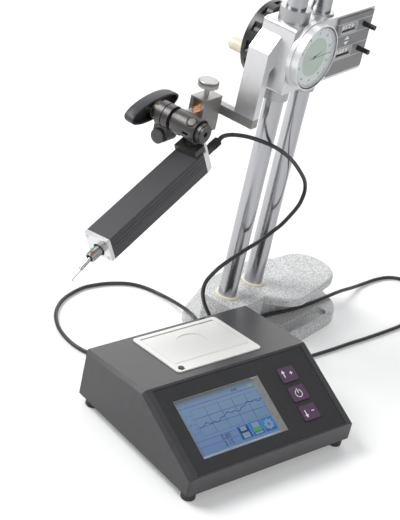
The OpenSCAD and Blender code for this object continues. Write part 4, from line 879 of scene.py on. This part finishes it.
# Thumbscrew: a turned steel screw with a flat knurled head on a thin neck, in the clamp block's thread.
# Its tip presses a copper pad down on the shank.
copper = grained("copper_pad", (0.46, 0.22, 0.09), (0.6, 0.3, 0.14),
                 scale=800, depth=0.00004, roughness=0.3, spread=0.14, metallic=1.0, stretch=(1, 8, 1))
dress(copper, "clamp_pad")
screw_low, screw_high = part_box("clamp_thumbscrew")
head_r = (screw_high[0] - screw_low[0]) / 2
head_top = screw_high[2] - screw_low[2]
head_h, head_rim, head_bevel, head_sag, head_flat = 0.007, 0.0009, 0.0008, 0.0001, 0.5
stem_r, neck_r, stem_gap, neck_gap = 0.0025, 0.0022, 0.0015, 0.0013
knurl_sides, knurl_inset, knurl_depth, knurl_margin, upright = 96, 0.00008, 0.0003, 0.001, 0.1
head_foot = head_top - head_h
screw_rings = [(stem_r, 0.0), (stem_r, head_foot - stem_gap), (neck_r, head_foot - neck_gap),
               (neck_r, head_foot), (head_r - head_rim, head_foot + head_sag),
               (head_r, head_foot + head_bevel), (head_r, head_top - head_bevel),
               (head_r - head_rim, head_top - head_sag), (head_r * head_flat, head_top)]
thumbscrew = turned("clamp_screw", screw_rings, knurl_sides)
for face in thumbscrew.data.polygons:
    x, y, z = face.center
    side = round(math.atan2(y, x) / math.tau * knurl_sides - 0.5)
    on_rim = abs(face.normal.z) < upright and head_foot + knurl_margin < z < head_top - knurl_margin
    face.select = on_rim and side % 2 == 0
bpy.ops.object.mode_set(mode="EDIT")
bpy.ops.mesh.select_mode(type="FACE")
bpy.ops.mesh.inset(thickness=knurl_inset, depth=-knurl_depth, use_individual=True)
bpy.ops.object.mode_set(mode="OBJECT")
screw_x, screw_y = (screw_low[0] + screw_high[0]) / 2, (screw_low[1] + screw_high[1]) / 2
thumbscrew.data.transform(Matrix.Translation((screw_x, screw_y, screw_low[2])))
screw_steel = grained("screw_steel", (0.37, 0.36, 0.35), (0.44, 0.43, 0.42),
                      scale=1400, depth=0.00005, roughness=0.44, spread=0.12, metallic=0.9)
thumbscrew.data.materials.append(screw_steel)
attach(thumbscrew, "thumbscrew")
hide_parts("clamp_thumbscrew")

# Wing knob: a moulded black plastic half-moon on a steel screw, hollow toward the collar, with the
# screw's boss standing in the hollow. A thin brass washer lies between it and the collar.
knob_half, knob_rise, knob_sides, knob_wall, knob_hollow = 0.033, 0.0105, 72, 0.0016, 0.006
knob_y, knob_turn = 0.0723, math.radians(-9)
along_y = Matrix.Rotation(-quarter_turn, 4, "X")
deselect()
bpy.ops.mesh.primitive_circle_add(vertices=knob_sides, radius=1, fill_type="NGON")
knob = bpy.context.object
knob.name = "wing_knob"
knob.data.transform(Matrix.Diagonal((knob_half, knob_rise, 1, 1)))
bpy.ops.object.mode_set(mode="EDIT")
bpy.ops.mesh.select_all(action="SELECT")
height = 0.0
for step, grow in [(0.0005, 1.02), (0.0085, 0.99), (0.0026, 0.95), (0.0012, 0.88)]:
    bpy.ops.mesh.extrude_region_move(TRANSFORM_OT_translate={"value": (0, 0, step)})
    height += step
    bpy.ops.transform.resize(value=(grow, grow, 1), center_override=(0, 0, height))
bpy.ops.mesh.select_all(action="SELECT")
bpy.ops.mesh.normals_make_consistent(inside=False)
bpy.ops.object.mode_set(mode="OBJECT")
for face in knob.data.polygons:
    face.select = face.normal.z < -facing
bpy.ops.object.mode_set(mode="EDIT")
bpy.ops.mesh.select_mode(type="FACE")
bpy.ops.mesh.inset(thickness=knob_wall)
bpy.ops.mesh.extrude_region_move(TRANSFORM_OT_translate={"value": (0, 0, knob_hollow)})
bpy.ops.mesh.select_all(action="SELECT")
bpy.ops.mesh.normals_make_consistent(inside=False)
bpy.ops.object.mode_set(mode="OBJECT")
bpy.ops.object.shade_smooth_by_angle(angle=math.radians(40))
knob_place = Matrix.Translation((ball_at.x, knob_y, ball_at.z)) @ Matrix.Rotation(knob_turn, 4, "Y")
knob.data.transform(knob_place @ along_y)
knob_black = grained("knob_black", (0.025, 0.025, 0.028), (0.038, 0.038, 0.042),
                     scale=1300, depth=0.00015, roughness=0.48, spread=0.1)
knob.data.materials.append(knob_black)
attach(knob, "knob")
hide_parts("lock_knob")
knob_screw = turned("knob_screw", [(0.004, -0.014), (0.004, -0.0002), (0.0062, 0.0), (0.0068, 0.004),
                                   (0.0085, 0.0064)])
knob_screw.data.transform(knob_place @ along_y)
knob_screw.data.materials.append(browned)
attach(knob_screw, "knob")
washer = turned("knob_washer", [(0.0087, 0.0712), (0.009, 0.0714), (0.009, 0.0718), (0.0087, 0.072)])
washer.data.transform(Matrix.Translation((ball_at.x, 0, ball_at.z)) @ along_y)
washer_brass = grained("washer_brass", (0.5, 0.42, 0.2), (0.6, 0.5, 0.26),
                       scale=900, depth=0.00004, roughness=0.34, spread=0.1, metallic=1.0)
washer.data.materials.append(washer_brass)
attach(washer, "swivel")
